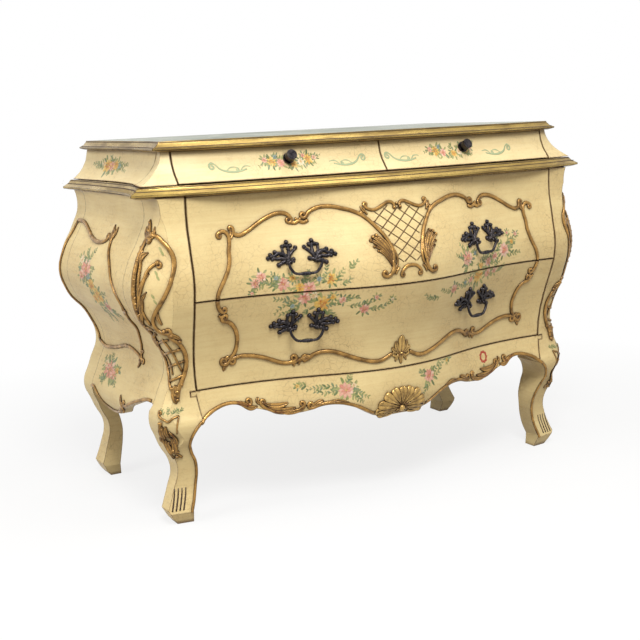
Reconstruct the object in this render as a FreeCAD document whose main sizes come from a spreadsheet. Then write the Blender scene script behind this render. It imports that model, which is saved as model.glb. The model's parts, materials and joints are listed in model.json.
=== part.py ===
import FreeCAD, Part
import math
import os

import Sketcher
from FreeCAD import Placement, Rotation, Vector

# Painted bombe chest: two small drawers in a coved frieze over two large serpentine drawers, on
# cabriole legs that run up as the corner posts. Millimetres, +Z up, the front faces -Y.
# Pieces are drawn in a frame whose y = 0 is the front corner of the waist moulding; every sub-part
# is then moved back or forward by Dims.centring, so that the origin is on the floor under the
# middle of the whole chest.

doc = FreeCAD.newDocument("bombe_chest")

# ---------------------------------------------------------------- driving dimensions

DIMENSIONS = [
    ("overall_height", 860.0),
    ("carcase_depth", 544.0),
    ("centring", -203.41),
    ("waist_top", 766.0),
    ("waist_underside", 742.0),
    ("frieze_top", 838.0),
    ("drawer_split", 516.0),
    ("lower_drawer_base", 312.0),
    ("post_back", 76.0),
    ("back_post_front", 478.0),
    ("drawer_side", 13.0),
    ("drawer_bottom", 8.0),
    ("drawer_front", 26.0),
    ("front_gap", 4.0),
    ("panel_wall", 22.0),
]

dims = doc.addObject("Spreadsheet::Sheet", "Dims")
for row, (alias, value) in enumerate(DIMENSIONS, start=1):
    dims.set("A%d" % row, alias)
    dims.set("B%d" % row, "%g" % value)
    dims.setAlias("B%d" % row, alias)
doc.recompute()

overall_height = dims.overall_height
carcase_depth = dims.carcase_depth
waist_top = dims.waist_top
waist_underside = dims.waist_underside
frieze_top = dims.frieze_top
drawer_split = dims.drawer_split
lower_drawer_base = dims.lower_drawer_base
post_back = dims.post_back
back_post_front = dims.back_post_front
drawer_side = dims.drawer_side
drawer_bottom = dims.drawer_bottom
drawer_front = dims.drawer_front
front_gap = dims.front_gap
panel_wall = dims.panel_wall

# ---------------------------------------------------------------- the chest's own lines

# Side line of the case and legs, (height, half width), from the waist down to the toe.
SIDE_LINE = [
    (742.0, 558.0), (700.0, 552.0), (650.0, 571.0), (600.0, 598.0), (545.0, 612.0),
    (490.0, 596.0), (430.0, 551.0), (360.0, 530.0), (300.0, 552.0), (245.0, 571.0),
    (190.0, 552.0), (125.0, 527.0), (75.0, 540.0), (36.0, 556.0),
]

# Front line at the drawers' ends, (height, y), from the waist down to the toe.
FRONT_LINE = [
    (742.0, -28.0), (690.0, -27.0), (620.0, -40.0), (560.0, -50.0), (516.0, -45.0),
    (470.0, -29.0), (420.0, -10.0), (360.0, 5.0), (309.0, 7.0), (270.0, 0.0),
    (236.0, -9.0), (205.0, -1.0), (175.0, 18.0), (145.0, 29.0), (110.0, 37.0),
    (78.0, 38.0), (50.0, 32.0), (28.0, 26.0),
]

# How far the middle of the front swells past its ends, (height, swell).
SWELL = [
    (742.0, 40.0), (690.0, 55.0), (620.0, 76.0), (560.0, 88.0), (516.0, 92.0),
    (470.0, 92.0), (420.0, 90.0), (360.0, 88.0), (309.0, 88.0), (270.0, 84.0),
    (236.0, 78.0), (186.0, 70.0),
]

# The same swell across the width: share of the full swell at quarters of the half width.
SERPENTINE = [1.0, 0.8, 0.34, 0.05, 0.0]

# Coved frieze: (height, y at the drawers' ends, corner x, corner y, half width behind the corner).
FRIEZE = [
    (768.0, -17.0, 586.0, 1.0, 568.0),
    (778.0, -9.0, 563.0, 9.0, 551.0),
    (793.0, 4.0, 541.0, 19.0, 534.0),
    (815.0, 15.0, 524.0, 28.0, 519.0),
    (838.0, 20.0, 517.0, 33.0, 513.0),
]
FRIEZE_LEVELS = (768.0, 774.0, 783.0, 795.0, 812.0, 838.0)
FRIEZE_BOW = 33.0
FRIEZE_END = 503.0


def reading(line, height):
    """Value of a (height, value) line at a height, on an even curve through its points."""
    pairs = sorted(line)
    if height <= pairs[0][0] or height >= pairs[-1][0]:
        return pairs[0][1] if height <= pairs[0][0] else pairs[-1][1]
    slopes = [(b[1] - a[1]) / (b[0] - a[0]) for a, b in zip(pairs, pairs[1:])]
    leans = [slopes[0]] + [0.5 * (a + b) for a, b in zip(slopes, slopes[1:])] + [slopes[-1]]
    i = sum(1 for level, _ in pairs[1:-1] if level <= height)
    (low, a), (high, b) = pairs[i], pairs[i + 1]
    rise = high - low
    t = (height - low) / rise
    ease = t * t * (3.0 - 2.0 * t)
    swing = rise * t * (1.0 - t) * (leans[i] * (1.0 - t) - leans[i + 1] * t)
    return a + (b - a) * ease + swing


def part_of(line, top, bottom):
    """The points of a (height, value) line between two heights, with both ends on the line."""
    inner = [p for p in line if bottom + 1.0 < p[0] < top - 1.0]
    return [(top, reading(line, top))] + inner + [(bottom, reading(line, bottom))]


def as_xy(line):
    """(height, value) points as (value, height) sketch points."""
    return [(value, height) for height, value in line]


def levels_between(top, bottom, count):
    """Evenly spaced heights from the top of a piece to its bottom, both included."""
    return [top - (top - bottom) * i / (count - 1) for i in range(count)]


# ---------------------------------------------------------------- drawing helpers

def new_body(name):
    body = doc.addObject("PartDesign::Body", name)
    body.Label = name
    body.setExpression("Placement.Base.y", "Dims.centring")
    return body


def sketch_on(body, plane, name, offset=0.0, turn=0.0):
    """Sketch on an origin plane, moved along its normal and turned about the vertical."""
    sk = body.newObject("Sketcher::SketchObject", name)
    support = [f for f in body.Origin.OriginFeatures if f.Role == plane][0]
    sk.AttachmentSupport = [(support, "")]
    sk.MapMode = "FlatFace"
    swing = Rotation(Vector(0, 1, 0), turn)
    sk.AttachmentOffset = Placement(swing.multVec(Vector(0, 0, offset)), swing)
    return sk


def arc_from(start, tangent, end):
    """Arc that leaves one point along a tangent and ends at another, or the line where it is flat."""
    chord = end - start
    across = Vector(-chord.y, chord.x, 0)
    turn = math.atan2(tangent.dot(across), tangent.dot(chord))
    if abs(turn) < 0.004:
        return Part.LineSegment(start, end)
    return Part.Arc(start, (start + end) * 0.5 + across * (0.5 * math.tan(0.5 * turn)), end)


def arc_pair(start, leaving, end, arriving):
    """Two arcs that share a tangent where they meet and keep the run's tangent at both ends."""
    chord = end - start
    spread = 2.0 * (1.0 - leaving.dot(arriving))
    along = 2.0 * chord.dot(leaving + arriving)
    square = chord.dot(chord)
    if spread < 1e-9:
        arm = square / along
    else:
        arm = (math.sqrt(along * along + 4.0 * spread * square) - along) / (2.0 * spread)
    near, far = start + leaving * arm, end - arriving * arm
    joint = (near + far) * 0.5
    return [arc_from(start, leaving, joint), arc_from(joint, far - near, end)]


def arc_run(points):
    """Smooth run of arcs through points."""
    points = [Vector(a, b, 0) for a, b in points]
    steps = [b - a for a, b in zip(points, points[1:])]
    tangents = [(a / a.dot(a) + b / b.dot(b)).normalize() for a, b in zip(steps, steps[1:])]
    first, last = steps[0].normalize(), steps[-1].normalize()
    tangents = ([first * (2.0 * first.dot(tangents[0])) - tangents[0]] + tangents
                + [last * (2.0 * last.dot(tangents[-1])) - tangents[-1]])
    return [arc for i in range(len(points) - 1)
            for arc in arc_pair(points[i], tangents[i], points[i + 1], tangents[i + 1])]


def spline_run(points):
    """Smooth run as one curve, for the long shallow lines of the lofted boards."""
    curve = Part.BSplineCurve()
    curve.interpolate([Vector(a, b, 0) for a, b in points])
    return [curve]


def join_ends(sk, first):
    """Tie each edge from the given one on to the next; an arc's ends go by its turning sense."""
    edges = list(range(first, sk.GeometryCount))
    ties = []
    for edge, following in zip(edges, edges[1:] + edges[:1]):
        near, far = min(((a, b) for a in (1, 2) for b in (1, 2)), key=lambda ends: (
            sk.getPoint(edge, ends[0]) - sk.getPoint(following, ends[1])).Length)
        ties.append(Sketcher.Constraint("Coincident", edge, near, following, far))
    sk.addConstraint(ties)
    return sk


def draw(sk, runs, smooth=arc_run):
    """Closed outline: a run of two points is a line, a longer one a smooth run."""
    first = sk.GeometryCount
    for run in runs:
        if len(run) == 2:
            sk.addGeometry(Part.LineSegment(Vector(*run[0], 0), Vector(*run[1], 0)), False)
        else:
            sk.addGeometry(smooth(run), False)
    return join_ends(sk, first)


def straight(points):
    """Straight runs from point to point."""
    return [[a, b] for a, b in zip(points, points[1:])]


def closed(*corners):
    """Straight runs round a polygon."""
    return straight(list(corners) + [corners[0]])


def pad(body, sk, length, symmetric=False, reverse=False, driver=None):
    feature = body.newObject("PartDesign::Pad", sk.Name + "_pad")
    feature.Profile = sk
    feature.SideType = "Symmetric" if symmetric else "One side"
    feature.Reversed = reverse
    feature.Length = length
    if driver:
        feature.setExpression("Length", driver)
    return feature


def pocket(body, sk, length=1600.0):
    """Cut right through, both ways from the sketch."""
    feature = body.newObject("PartDesign::Pocket", sk.Name + "_cut")
    feature.Profile = sk
    feature.SideType = "Symmetric"
    feature.Length = length
    return feature


def loft(body, sketches):
    """Board built up in narrow bands, straight from one level section to the next."""
    feature = body.newObject("PartDesign::AdditiveLoft", body.Name + "_loft")
    feature.Profile = sketches[0]
    feature.Sections = sketches[1:]
    feature.Ruled = True
    return feature


def plank(name, x0, x1, y0, y1, z0, z1):
    """Plain rectangular board between two corners, in the chest's drawing frame."""
    box = doc.addObject("Part::Box", name)
    box.Label = name
    box.Length, box.Width, box.Height = x1 - x0, y1 - y0, z1 - z0
    box.Placement.Base = Vector(x0, y0, z0)
    box.setExpression("Placement.Base.y", "Dims.centring + %g" % y0)
    return box


def serpentine(half_width, end_y, swell):
    """Points of one serpentine front line, from left to right."""
    shares = SERPENTINE[:0:-1] + SERPENTINE
    steps = len(shares) - 1
    points = []
    for i, share in enumerate(shares):
        x = half_width * (2.0 * i / steps - 1.0)
        points.append((x, end_y - swell * share))
    return points


# ---------------------------------------------------------------- top

# Plan of the top's lip, right half from the middle to the front corner and along the side.
TOP_LIP_FRONT = [(0.0, -34.0), (260.0, -24.0), (450.0, -5.0), (549.0, 12.0)]
TOP_LIP_SIDE = [(549.0, 12.0), (537.0, 110.0), (533.0, 300.0), (534.0, carcase_depth + 6.0)]
TOP_INNER = 24.0

# Edge profile of the top, (height, how far it stands back from the lip).
TOP_EDGE = [(838.0, 15.0), (842.0, 1.0), (845.0, 0.5), (850.0, 11.5), (857.0, 18.0), (860.0, 19.0)]


def lip_corner(corner, back):
    """The mitred corner of a moulding, stepped in by the same amount on both sides."""
    return (corner[0] - back, corner[1] + 0.55 * back)


def front_line(lip, back):
    """Front plan line of a moulding at one step in from its lip, left to right."""
    half = [(x, y + 0.55 * back) for x, y in lip[:-1]] + [lip_corner(lip[-1], back)]
    return [(-x, y) for x, y in half[:0:-1]] + half


def side_line(lip, back, side):
    """Side plan line at one step in from the lip, from the front corner to the back."""
    points = [lip_corner(lip[0], back)] + [(x - back, y) for x, y in lip[1:]]
    return [(side * x, y) for x, y in points]


def moulding(name, lip_front, lip_side, edge, inner):
    """Front length and two side lengths, mitred at the front corners."""
    made = []
    body = new_body(name + "_front")
    rings = []
    for level, (height, back) in enumerate(edge):
        outer = front_line(lip_front, back)
        inside = front_line(lip_front, inner)
        sk = sketch_on(body, "XY_Plane", "%s_front_%d" % (name, level), height)
        draw(sk, [outer] + straight([outer[-1]] + inside[::-1] + [outer[0]]), spline_run)
        rings.append(sk)
    loft(body, rings)
    made.append(body)
    for side, word in ((-1, "left"), (1, "right")):
        body = new_body("%s_%s" % (name, word))
        rings = []
        for level, (height, back) in enumerate(edge):
            outer = side_line(lip_side, back, side)
            inside = side_line(lip_side, inner, side)
            sk = sketch_on(body, "XY_Plane", "%s_%s_%d" % (name, word, level), height)
            draw(sk, [outer] + straight([outer[-1]] + inside[::-1] + [outer[0]]), spline_run)
            rings.append(sk)
        loft(body, rings)
        made.append(body)
    return made


def top_board():
    body = new_body("top_board")
    front = front_line(TOP_LIP_FRONT, TOP_INNER)
    right = side_line(TOP_LIP_SIDE, TOP_INNER, 1)
    left = side_line(TOP_LIP_SIDE, TOP_INNER, -1)
    sk = sketch_on(body, "XY_Plane", "top_plan", frieze_top)
    draw(sk, closed(*front, *right[1:], *left[:0:-1]))
    pad(body, sk, overall_height - frieze_top, driver="Dims.overall_height - Dims.frieze_top")
    return body


# ---------------------------------------------------------------- frieze

def frieze_at(height):
    """The frieze's readings at one height: y at the ends, corner x, corner y, half width."""
    return [reading([(row[0], row[column]) for row in FRIEZE], height) for column in (1, 2, 3, 4)]


def frieze_front_y(end_y, x):
    """The bowed front of the frieze at one height."""
    return end_y - FRIEZE_BOW * (1.0 - (x / FRIEZE_END) ** 2)


def corner_block(side, word):
    """Corner block of the frieze, its front and its side both sawn to the cove and mitred."""
    body = new_body("frieze_corner_" + word)
    inner = FRIEZE_END + front_gap
    low, high = FRIEZE[0][0], FRIEZE[-1][0]
    far = 620.0
    sk = sketch_on(body, "XY_Plane", "corner_%s_plan" % word, low)
    plan = [(inner, -60.0), (far, -60.0), (far, post_back), (inner, post_back)]
    draw(sk, closed(*[(side * x, y) for x, y in plan]))
    pad(body, sk, high - low)

    bottom = FRIEZE[0]
    falling = math.atan2(bottom[3] - bottom[1], bottom[2] - inner)
    front = [(y * math.cos(falling) - inner * math.sin(falling), z) for z, y, _, _, _ in FRIEZE]
    sk = sketch_on(body, "YZ_Plane", "corner_%s_front" % word, turn=side * math.degrees(falling))
    draw(sk, waste_beyond(front, -400.0))
    pocket(body, sk)

    flaring = math.atan2(bottom[2] - bottom[4], post_back - bottom[3])
    flank = [(x * math.cos(flaring) + post_back * math.sin(flaring), z)
             for z, _, _, _, x in FRIEZE]
    sk = sketch_on(body, "XZ_Plane", "corner_%s_flank" % word, turn=side * math.degrees(flaring))
    draw(sk, [[(side * x, z) for x, z in run] for run in waste_beyond(flank, 900.0)])
    pocket(body, sk)
    return body


def waste_beyond(line, far, margin=10.0):
    """Outline of the wood to saw away on one side of a profile line, a little past both ends."""
    first, last = line[0], line[-1]
    below, above = first[1] - margin, last[1] + margin
    return [line] + straight([last, (last[0], above), (far, above), (far, below),
                              (first[0], below), first])


def frieze_side(side, word):
    """Coved side panel of the frieze, hollow in plan between the front ear and the back."""
    body = new_body("frieze_side_" + word)
    rings = []
    for level, height in enumerate(FRIEZE_LEVELS):
        side_x = frieze_at(height)[3]
        flare = side_x - 513.0
        outer = [(side_x, post_back), (511.0 + 0.62 * flare, 200.0),
                 (512.0 + 0.62 * flare, 380.0), (516.0 + 0.75 * flare, carcase_depth)]
        outer = [(side * x, y) for x, y in outer]
        inner = side * 494.0
        sk = sketch_on(body, "XY_Plane", "frieze_side_%s_%d" % (word, level), height)
        draw(sk, [outer, [outer[-1], (inner, carcase_depth)],
                  [(inner, carcase_depth), (inner, post_back)], [(inner, post_back), outer[0]]],
             spline_run)
        rings.append(sk)
    loft(body, rings)
    return body


def small_drawer(side, word):
    """One frieze drawer: coved front, four box boards and a turned knob."""
    name = "small_drawer_" + word
    made = []
    near, far = 2.0, FRIEZE_END
    back_face = 42.0

    body = new_body(name + "_front")
    rings = []
    levels = [FRIEZE_LEVELS[0] + 1.5] + list(FRIEZE_LEVELS[1:-1]) + [frieze_top - 1.0]
    for level, height in enumerate(levels):
        end_y = frieze_at(height)[0]
        stations = [near + (far - near) * i / 3.0 for i in range(4)]
        face = [(side * x, frieze_front_y(end_y, x)) for x in stations]
        sk = sketch_on(body, "XY_Plane", "%s_%d" % (name, level), height)
        draw(sk, [face, [face[-1], (side * far, back_face)],
                  [(side * far, back_face), (side * near, back_face)],
                  [(side * near, back_face), face[0]]], spline_run)
        rings.append(sk)
    loft(body, rings)
    made.append(body)

    base = waist_top + 1.0
    top = frieze_top - 7.0
    back = 478.0
    runs = {"inner_side": (14.0, 14.0 + drawer_side), "outer_side": (488.0 - drawer_side, 488.0)}
    for board_name, (a, b) in runs.items():
        made.append(plank("%s_%s" % (name, board_name), min(side * a, side * b),
                          max(side * a, side * b), back_face, back, base, top))
    a, b = sorted((side * (14.0 + drawer_side), side * (488.0 - drawer_side)))
    made.append(plank(name + "_back", a, b, back - drawer_side, back, base + 12.0, top - 4.0))
    made.append(plank(name + "_bottom", a, b, back_face, back, base + 4.0, base + 12.0))

    made.append(knob(side, word))
    return made


def seated(piece, seat, name):
    """A piece trimmed to the curved face that it stands on or butts against."""
    cut = doc.addObject("Part::Cut", name)
    cut.Base, cut.Tool = piece, seat
    cut.Label = name
    return cut


def knob(side, word):
    """Turned knob with a flange, square to the drawer's coved and bowed face."""
    name = "knob_" + word
    body = doc.addObject("PartDesign::Body", name)
    body.Label = name
    profile = [(0.0, 0.0), (13.0, 0.0), (13.0, 3.5), (5.0, 3.5), (5.0, 12.0), (12.0, 12.0),
               (12.0, 24.0), (0.0, 24.0)]
    half = sketch_on(body, "XY_Plane", name + "_half")
    draw(half, closed(*profile))
    axis = sketch_on(body, "XY_Plane", name + "_axis")
    axis.addGeometry(Part.LineSegment(Vector(0, 0, 0), Vector(0, 30.0, 0)), False)
    turn = body.newObject("PartDesign::Revolution", name + "_turning")
    turn.Profile = half
    turn.ReferenceAxis = (axis, ["Edge1"])
    turn.Angle = 360.0

    height, x, step = 808.0, side * 238.0, 5.0

    def face_y(at, level):
        return frieze_front_y(frieze_at(level)[0], abs(at))

    lean = (face_y(x, height + step) - face_y(x, height - step)) / (2.0 * step)
    sweep = (face_y(x + step, height) - face_y(x - step, height)) / (2.0 * step)
    outwards = Vector(sweep, -1.0, lean).normalize()
    middle = Vector(x, face_y(x, height), height)
    flange = profile[1][0]
    rim = []
    for i in range(24):
        across, up = (flange * f(math.radians(15.0 * i)) for f in (math.cos, math.sin))
        rim.append(Vector(x + across, face_y(x + across, height + up), height + up))
    seat = middle + outwards * (max((p - middle).dot(outwards) for p in rim) + 0.6)
    body.Placement = Placement(seat, Rotation(Vector(0, 1, 0), outwards))
    body.setExpression("Placement.Base.y", "Dims.centring + %.3f" % seat.y)
    return body


# ---------------------------------------------------------------- waist moulding

WAIST_LIP_FRONT = [(0.0, -84.0), (260.0, -66.0), (495.0, -38.0), (611.0, -6.0)]
WAIST_LIP_SIDE = [(611.0, -6.0), (582.0, 90.0), (572.0, 240.0), (575.0, 400.0),
                  (586.0, carcase_depth)]
WAIST_INNER = 46.0
WAIST_EDGE = [(742.0, 16.0), (746.0, 1.0), (750.0, 0.5), (758.0, 15.0), (761.5, 18.0),
              (766.0, 22.5)]


# ---------------------------------------------------------------- posts and legs

TAB_HEIGHT = 13.0
DRAWER_EDGE_TOP = 494.0
DRAWER_EDGE_BASE = 481.0

# Inner edge of the leg in front view, (x, height), from the apron's joint to the toe.
LEG_INNER = [(478.0, 240.0), (494.0, 221.0), (502.0, 197.0), (495.0, 170.0), (484.0, 145.0),
             (480.0, 118.0), (483.0, 88.0), (490.0, 55.0), (499.0, 29.0)]
TOE_INNER = (495.0, 0.0)
TOE_OUTER = (533.0, 0.0)

# Rear edge of a front leg in side view, (y, height).
LEG_REAR = [(84.0, 262.0), (84.0, 240.0), (92.0, 205.0), (96.0, 176.0), (90.0, 145.0),
            (84.0, 115.0), (85.0, 85.0), (83.0, 55.0), (78.0, 30.0), (76.0, 0.0)]


def post_front(side, word):
    """Front post and cabriole leg in one piece: sawn to the front view, then to the side view,
    then flattened along the corner for the carved cartouche."""
    body = new_body("front_post_" + word)
    inner_top = DRAWER_EDGE_TOP + front_gap
    inner_base = DRAWER_EDGE_BASE + front_gap
    outer = as_xy(SIDE_LINE)
    runs = [
        outer,
        [outer[-1], (544.0, 14.0)],
        [(544.0, 14.0), TOE_OUTER],
        [TOE_OUTER, TOE_INNER],
        [TOE_INNER, LEG_INNER[-1]],
        LEG_INNER[::-1],
        [LEG_INNER[0], (inner_base, lower_drawer_base - 14.0)],
        [(inner_base, lower_drawer_base - 14.0), (inner_base, lower_drawer_base)],
        [(inner_base, lower_drawer_base), (inner_top, drawer_split)],
        [(inner_top, drawer_split), (inner_top, waist_underside)],
        [(inner_top, waist_underside), outer[0]],
    ]
    sk = sketch_on(body, "XZ_Plane", "post_%s_front_view" % word)
    draw(sk, [[(side * x, z) for x, z in run] for run in runs])
    pad(body, sk, 400.0, symmetric=True)

    # waste in front of the face; the face falls back a little towards the corner
    pivot = DRAWER_EDGE_TOP
    face = [(y, z) for y, z in as_xy(FRONT_LINE)]
    swing = 8.0
    slant = pivot * math.sin(math.radians(swing))
    squeeze = math.cos(math.radians(swing))
    face = [(y * squeeze - slant, z) for y, z in face]
    ahead = -320.0
    toe = face[-1]
    heel = (toe[0] + 13.0, 0.0)
    above, below = waist_underside + 30.0, -30.0
    sk = sketch_on(body, "YZ_Plane", "post_%s_face" % word, turn=side * swing)
    draw(sk, [[(face[0][0], above), face[0]], face, [toe, heel], [heel, (heel[0], below)],
              [(heel[0], below), (ahead, below)], [(ahead, below), (ahead, above)],
              [(ahead, above), (face[0][0], above)]])
    pocket(body, sk)

    # waste behind the post and leg
    rear = LEG_REAR
    behind = 400.0
    sk = sketch_on(body, "YZ_Plane", "post_%s_rear" % word)
    draw(sk, [[(post_back, above), (post_back, 276.0)], [(post_back, 276.0), rear[0]], rear,
              [rear[-1], (rear[-1][0], below)], [(rear[-1][0], below), (behind, below)],
              [(behind, below), (behind, above)], [(behind, above), (post_back, above)]])
    pocket(body, sk)
    return body


# Flat sawn along each front corner for the carved cartouche, (height, reach along the diagonal).
CORNER_FLAT = [
    (760.0, 440.0), (700.0, 402.0), (630.0, 403.0), (545.0, 414.0), (455.0, 394.0),
    (380.0, 368.0), (320.0, 368.0), (245.0, 384.0), (185.0, 364.0), (130.0, 392.0),
]


def saw_corner_flat(body, side, word):
    """Take the sharp corner off the bulge and the knee."""
    sk = sketch_on(body, "YZ_Plane", "post_%s_corner_flat" % word, turn=side * 45.0)
    edge = [(-reach, z) for z, reach in CORNER_FLAT]
    top, base, out = edge[0], edge[-1], -900.0
    draw(sk, [edge, [base, (out, base[1])], [(out, base[1]), (out, top[1])],
              [(out, top[1]), top]])
    return pocket(body, sk)


def cut_tab_seat(body, side, word):
    """Notch in the post for the bottom rail's tab."""
    near = DRAWER_EDGE_BASE + front_gap - 1.0
    far = near + TAB_HEIGHT + 1.5
    low = lower_drawer_base - 14.0
    sk = sketch_on(body, "XZ_Plane", "post_%s_tab_seat" % word, offset=77.0)
    corners = [(near, low), (far, low), (far, low + TAB_HEIGHT), (near, low + TAB_HEIGHT)]
    draw(sk, closed(*[(side * x, z) for x, z in corners]))
    return pocket(body, sk, 200.0)


# Back legs, (x, height) of the inner edge and (y, height) of the leg's front edge.
BACK_LEG_INNER = [(500.0, 262.0), (503.0, 225.0), (508.0, 197.0), (504.0, 170.0), (496.0, 145.0),
                  (492.0, 118.0), (495.0, 88.0), (503.0, 55.0), (510.0, 29.0)]
BACK_LEG_FRONT = [(478.0, 250.0), (482.0, 215.0), (490.0, 180.0), (496.0, 145.0), (497.0, 110.0),
                  (493.0, 75.0), (487.0, 48.0), (483.0, 28.0)]


def post_back_leg(side, word):
    """Back post and leg: straight behind, sawn to the side line and flared at the foot."""
    body = new_body("back_post_" + word)
    inner = BACK_LEG_INNER[0][0]
    outer = as_xy(SIDE_LINE)
    toe_in, toe_out = (506.0, 0.0), (534.0, 0.0)
    runs = [
        outer,
        [outer[-1], (545.0, 14.0)],
        [(545.0, 14.0), toe_out],
        [toe_out, toe_in],
        [toe_in, BACK_LEG_INNER[-1]],
        BACK_LEG_INNER[::-1],
        [BACK_LEG_INNER[0], (inner, waist_underside)],
        [(inner, waist_underside), outer[0]],
    ]
    sk = sketch_on(body, "XZ_Plane", "back_post_%s_front_view" % word, offset=-carcase_depth)
    draw(sk, [[(side * x, z) for x, z in run] for run in runs])
    pad(body, sk, carcase_depth - back_post_front + 12.0)

    top = BACK_LEG_FRONT[0]
    toe = BACK_LEG_FRONT[-1]
    heel = (toe[0] + 10.0, 0.0)
    ahead = 300.0
    sk = sketch_on(body, "YZ_Plane", "back_post_%s_side_view" % word)
    draw(sk, [[(top[0], 800.0), top], BACK_LEG_FRONT, [toe, heel], [heel, (heel[0], -30.0)],
              [(heel[0], -30.0), (ahead, -30.0)], [(ahead, -30.0), (ahead, 800.0)],
              [(ahead, 800.0), (top[0], 800.0)]])
    pocket(body, sk)
    return body


# ---------------------------------------------------------------- side panels

# Scalloped lower edge of a side, (y, height), from the front leg to the back leg.
SIDE_SCALLOP = [(76.0, 277.5), (97.0, 281.0), (119.0, 277.0), (160.0, 266.0), (205.0, 251.0),
                (245.0, 236.0), (280.0, 216.0), (325.0, 206.0), (372.0, 205.0), (412.0, 213.0),
                (440.0, 234.0), (462.0, 246.0), (478.0, 244.0)]


def side_panel(side, word):
    """Bombe side, scalloped below and left in flat staves behind."""
    body = new_body("side_panel_" + word)
    outer = as_xy(SIDE_LINE)
    inner = [(x - panel_wall, z) for x, z in outer]
    sk = sketch_on(body, "XZ_Plane", "side_%s_section" % word, offset=-back_post_front)
    draw(sk, [[(side * x, z) for x, z in run]
              for run in [outer] + straight([outer[-1]] + inner[::-1] + [outer[0]])])
    pad(body, sk, back_post_front - post_back, driver="Dims.back_post_front - Dims.post_back")
    front, back = SIDE_SCALLOP[0], SIDE_SCALLOP[-1]
    sk = sketch_on(body, "YZ_Plane", "side_%s_scallop" % word)
    below = -30.0
    draw(sk, [SIDE_SCALLOP, [back, (back[0] + 30.0, back[1])],
              [(back[0] + 30.0, back[1]), (back[0] + 30.0, below)],
              [(back[0] + 30.0, below), (front[0] - 30.0, below)],
              [(front[0] - 30.0, below), (front[0] - 30.0, front[1])],
              [(front[0] - 30.0, front[1]), front]])
    pocket(body, sk)
    return body


# Gilt frame on each side, (y, height), closed, and its width.
SIDE_FRAME = [(505.0, 668.0), (440.0, 660.0), (360.0, 636.0), (280.0, 631.0), (196.0, 640.0),
              (180.0, 590.0), (132.0, 525.0), (122.0, 488.0), (172.0, 420.0), (200.0, 364.0),
              (250.0, 367.0), (310.0, 374.0), (420.0, 352.0), (485.0, 350.0), (518.0, 366.0),
              (530.0, 490.0), (524.0, 590.0)]
FRAME_RELIEF = 7.0


def shrunk(points, width):
    """Closed outline moved inwards by about its moulding's width."""
    count = len(points)
    moved = []
    for i, (a, b) in enumerate(points):
        (a0, b0), (a1, b1) = points[i - 1], points[(i + 1) % count]
        run = math.hypot(a1 - a0, b1 - b0)
        moved.append((a - width * (b1 - b0) / run, b + width * (a1 - a0) / run))
    return moved


def area(points):
    """Signed area of a closed outline."""
    ring = points[1:] + points[:1]
    return 0.5 * sum(a * d - b * c for (a, b), (c, d) in zip(points, ring))


def saw_out(body, plane, name, outlines, margin=900.0):
    """Saw away everything outside the given outlines."""
    waste = sketch_on(body, plane, name + "_waste")
    xs = [a for ring in outlines for a, b in ring]
    ys = [b for ring in outlines for a, b in ring]
    left, right = min(xs) - margin, max(xs) + margin
    low, high = min(ys) - margin, max(ys) + margin
    draw(waste, closed((left, low), (right, low), (right, high), (left, high)))
    for ring in outlines:
        draw(waste, closed(*ring))
    return pocket(body, waste)


def saw_ring(body, plane, name, outline, width):
    """Leave only a moulding of one width along a closed outline."""
    inward = width if area(outline) > 0 else -width
    hole = sketch_on(body, plane, name + "_hole")
    draw(hole, closed(*shrunk(outline, inward)))
    pocket(body, hole)
    return saw_out(body, plane, name, [outline])


def side_frame(side, word):
    """Gilt frame moulding, sawn from stock already shaped to the bombe side."""
    body = new_body("side_frame_" + word)
    back, front = 560.0, 90.0
    inner = [(x + 0.2, z) for z, x in SIDE_LINE]
    outer = [(x + FRAME_RELIEF, z) for x, z in inner]
    sk = sketch_on(body, "XZ_Plane", "side_frame_%s_stock" % word, offset=-back)
    draw(sk, [[(side * x, z) for x, z in run] for run in (
        outer, [outer[-1], inner[-1]], inner[::-1], [inner[0], outer[0]])])
    pad(body, sk, back - front)
    saw_ring(body, "YZ_Plane", "side_frame_" + word, SIDE_FRAME, 11.0)
    return body


# ---------------------------------------------------------------- large drawers

# Heights of the level sections of the two fronts.
UPPER_LEVELS = levels_between(waist_underside - 1.5, drawer_split + 1.5, 8)
LOWER_LEVELS = levels_between(drawer_split - 1.5, lower_drawer_base, 7)


# How much thinner a coopered board is in its middle than at its ends.
COOPERED_HOLLOW = 4.0


def serpentine_strip(body, name, levels, half_at, thick, proud=0.0, coopered=False):
    """Bombe and serpentine board through level sections, its face as far proud as asked.
    A coopered board is left in flat staves behind, hollowed towards the middle."""
    rings = []
    for level, height in enumerate(levels):
        face = serpentine(half_at(height), reading(FRONT_LINE, height) - proud,
                          reading(SWELL, height))
        hollow = serpentine(1.0, 0.0, COOPERED_HOLLOW if coopered else 0.0)
        rear = [(x, y + thick + less) for (x, y), (_, less) in zip(face[::-1], hollow)]
        inside = straight(rear) if coopered else [rear]
        sk = sketch_on(body, "XY_Plane", "%s_level_%d" % (name, level), height)
        draw(sk, [face, [face[-1], rear[0]]] + inside + [[rear[-1], face[0]]], spline_run)
        rings.append(sk)
    return loft(body, rings)


def drawer_half(height):
    """Half width of the large drawers: upright above the split, closing in a little below."""
    if height >= drawer_split:
        return DRAWER_EDGE_TOP
    share = (drawer_split - height) / (drawer_split - lower_drawer_base)
    return DRAWER_EDGE_TOP + (DRAWER_EDGE_BASE - DRAWER_EDGE_TOP) * share


def surface_y(body, x, height):
    """Where the front face of a finished piece stands, on one line from front to back."""
    doc.recompute()
    probe = Part.makeLine(Vector(x, -600.0, height), Vector(x, 300.0, height))
    return probe.common(body.Shape).BoundBox.YMin - dims.centring


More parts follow.
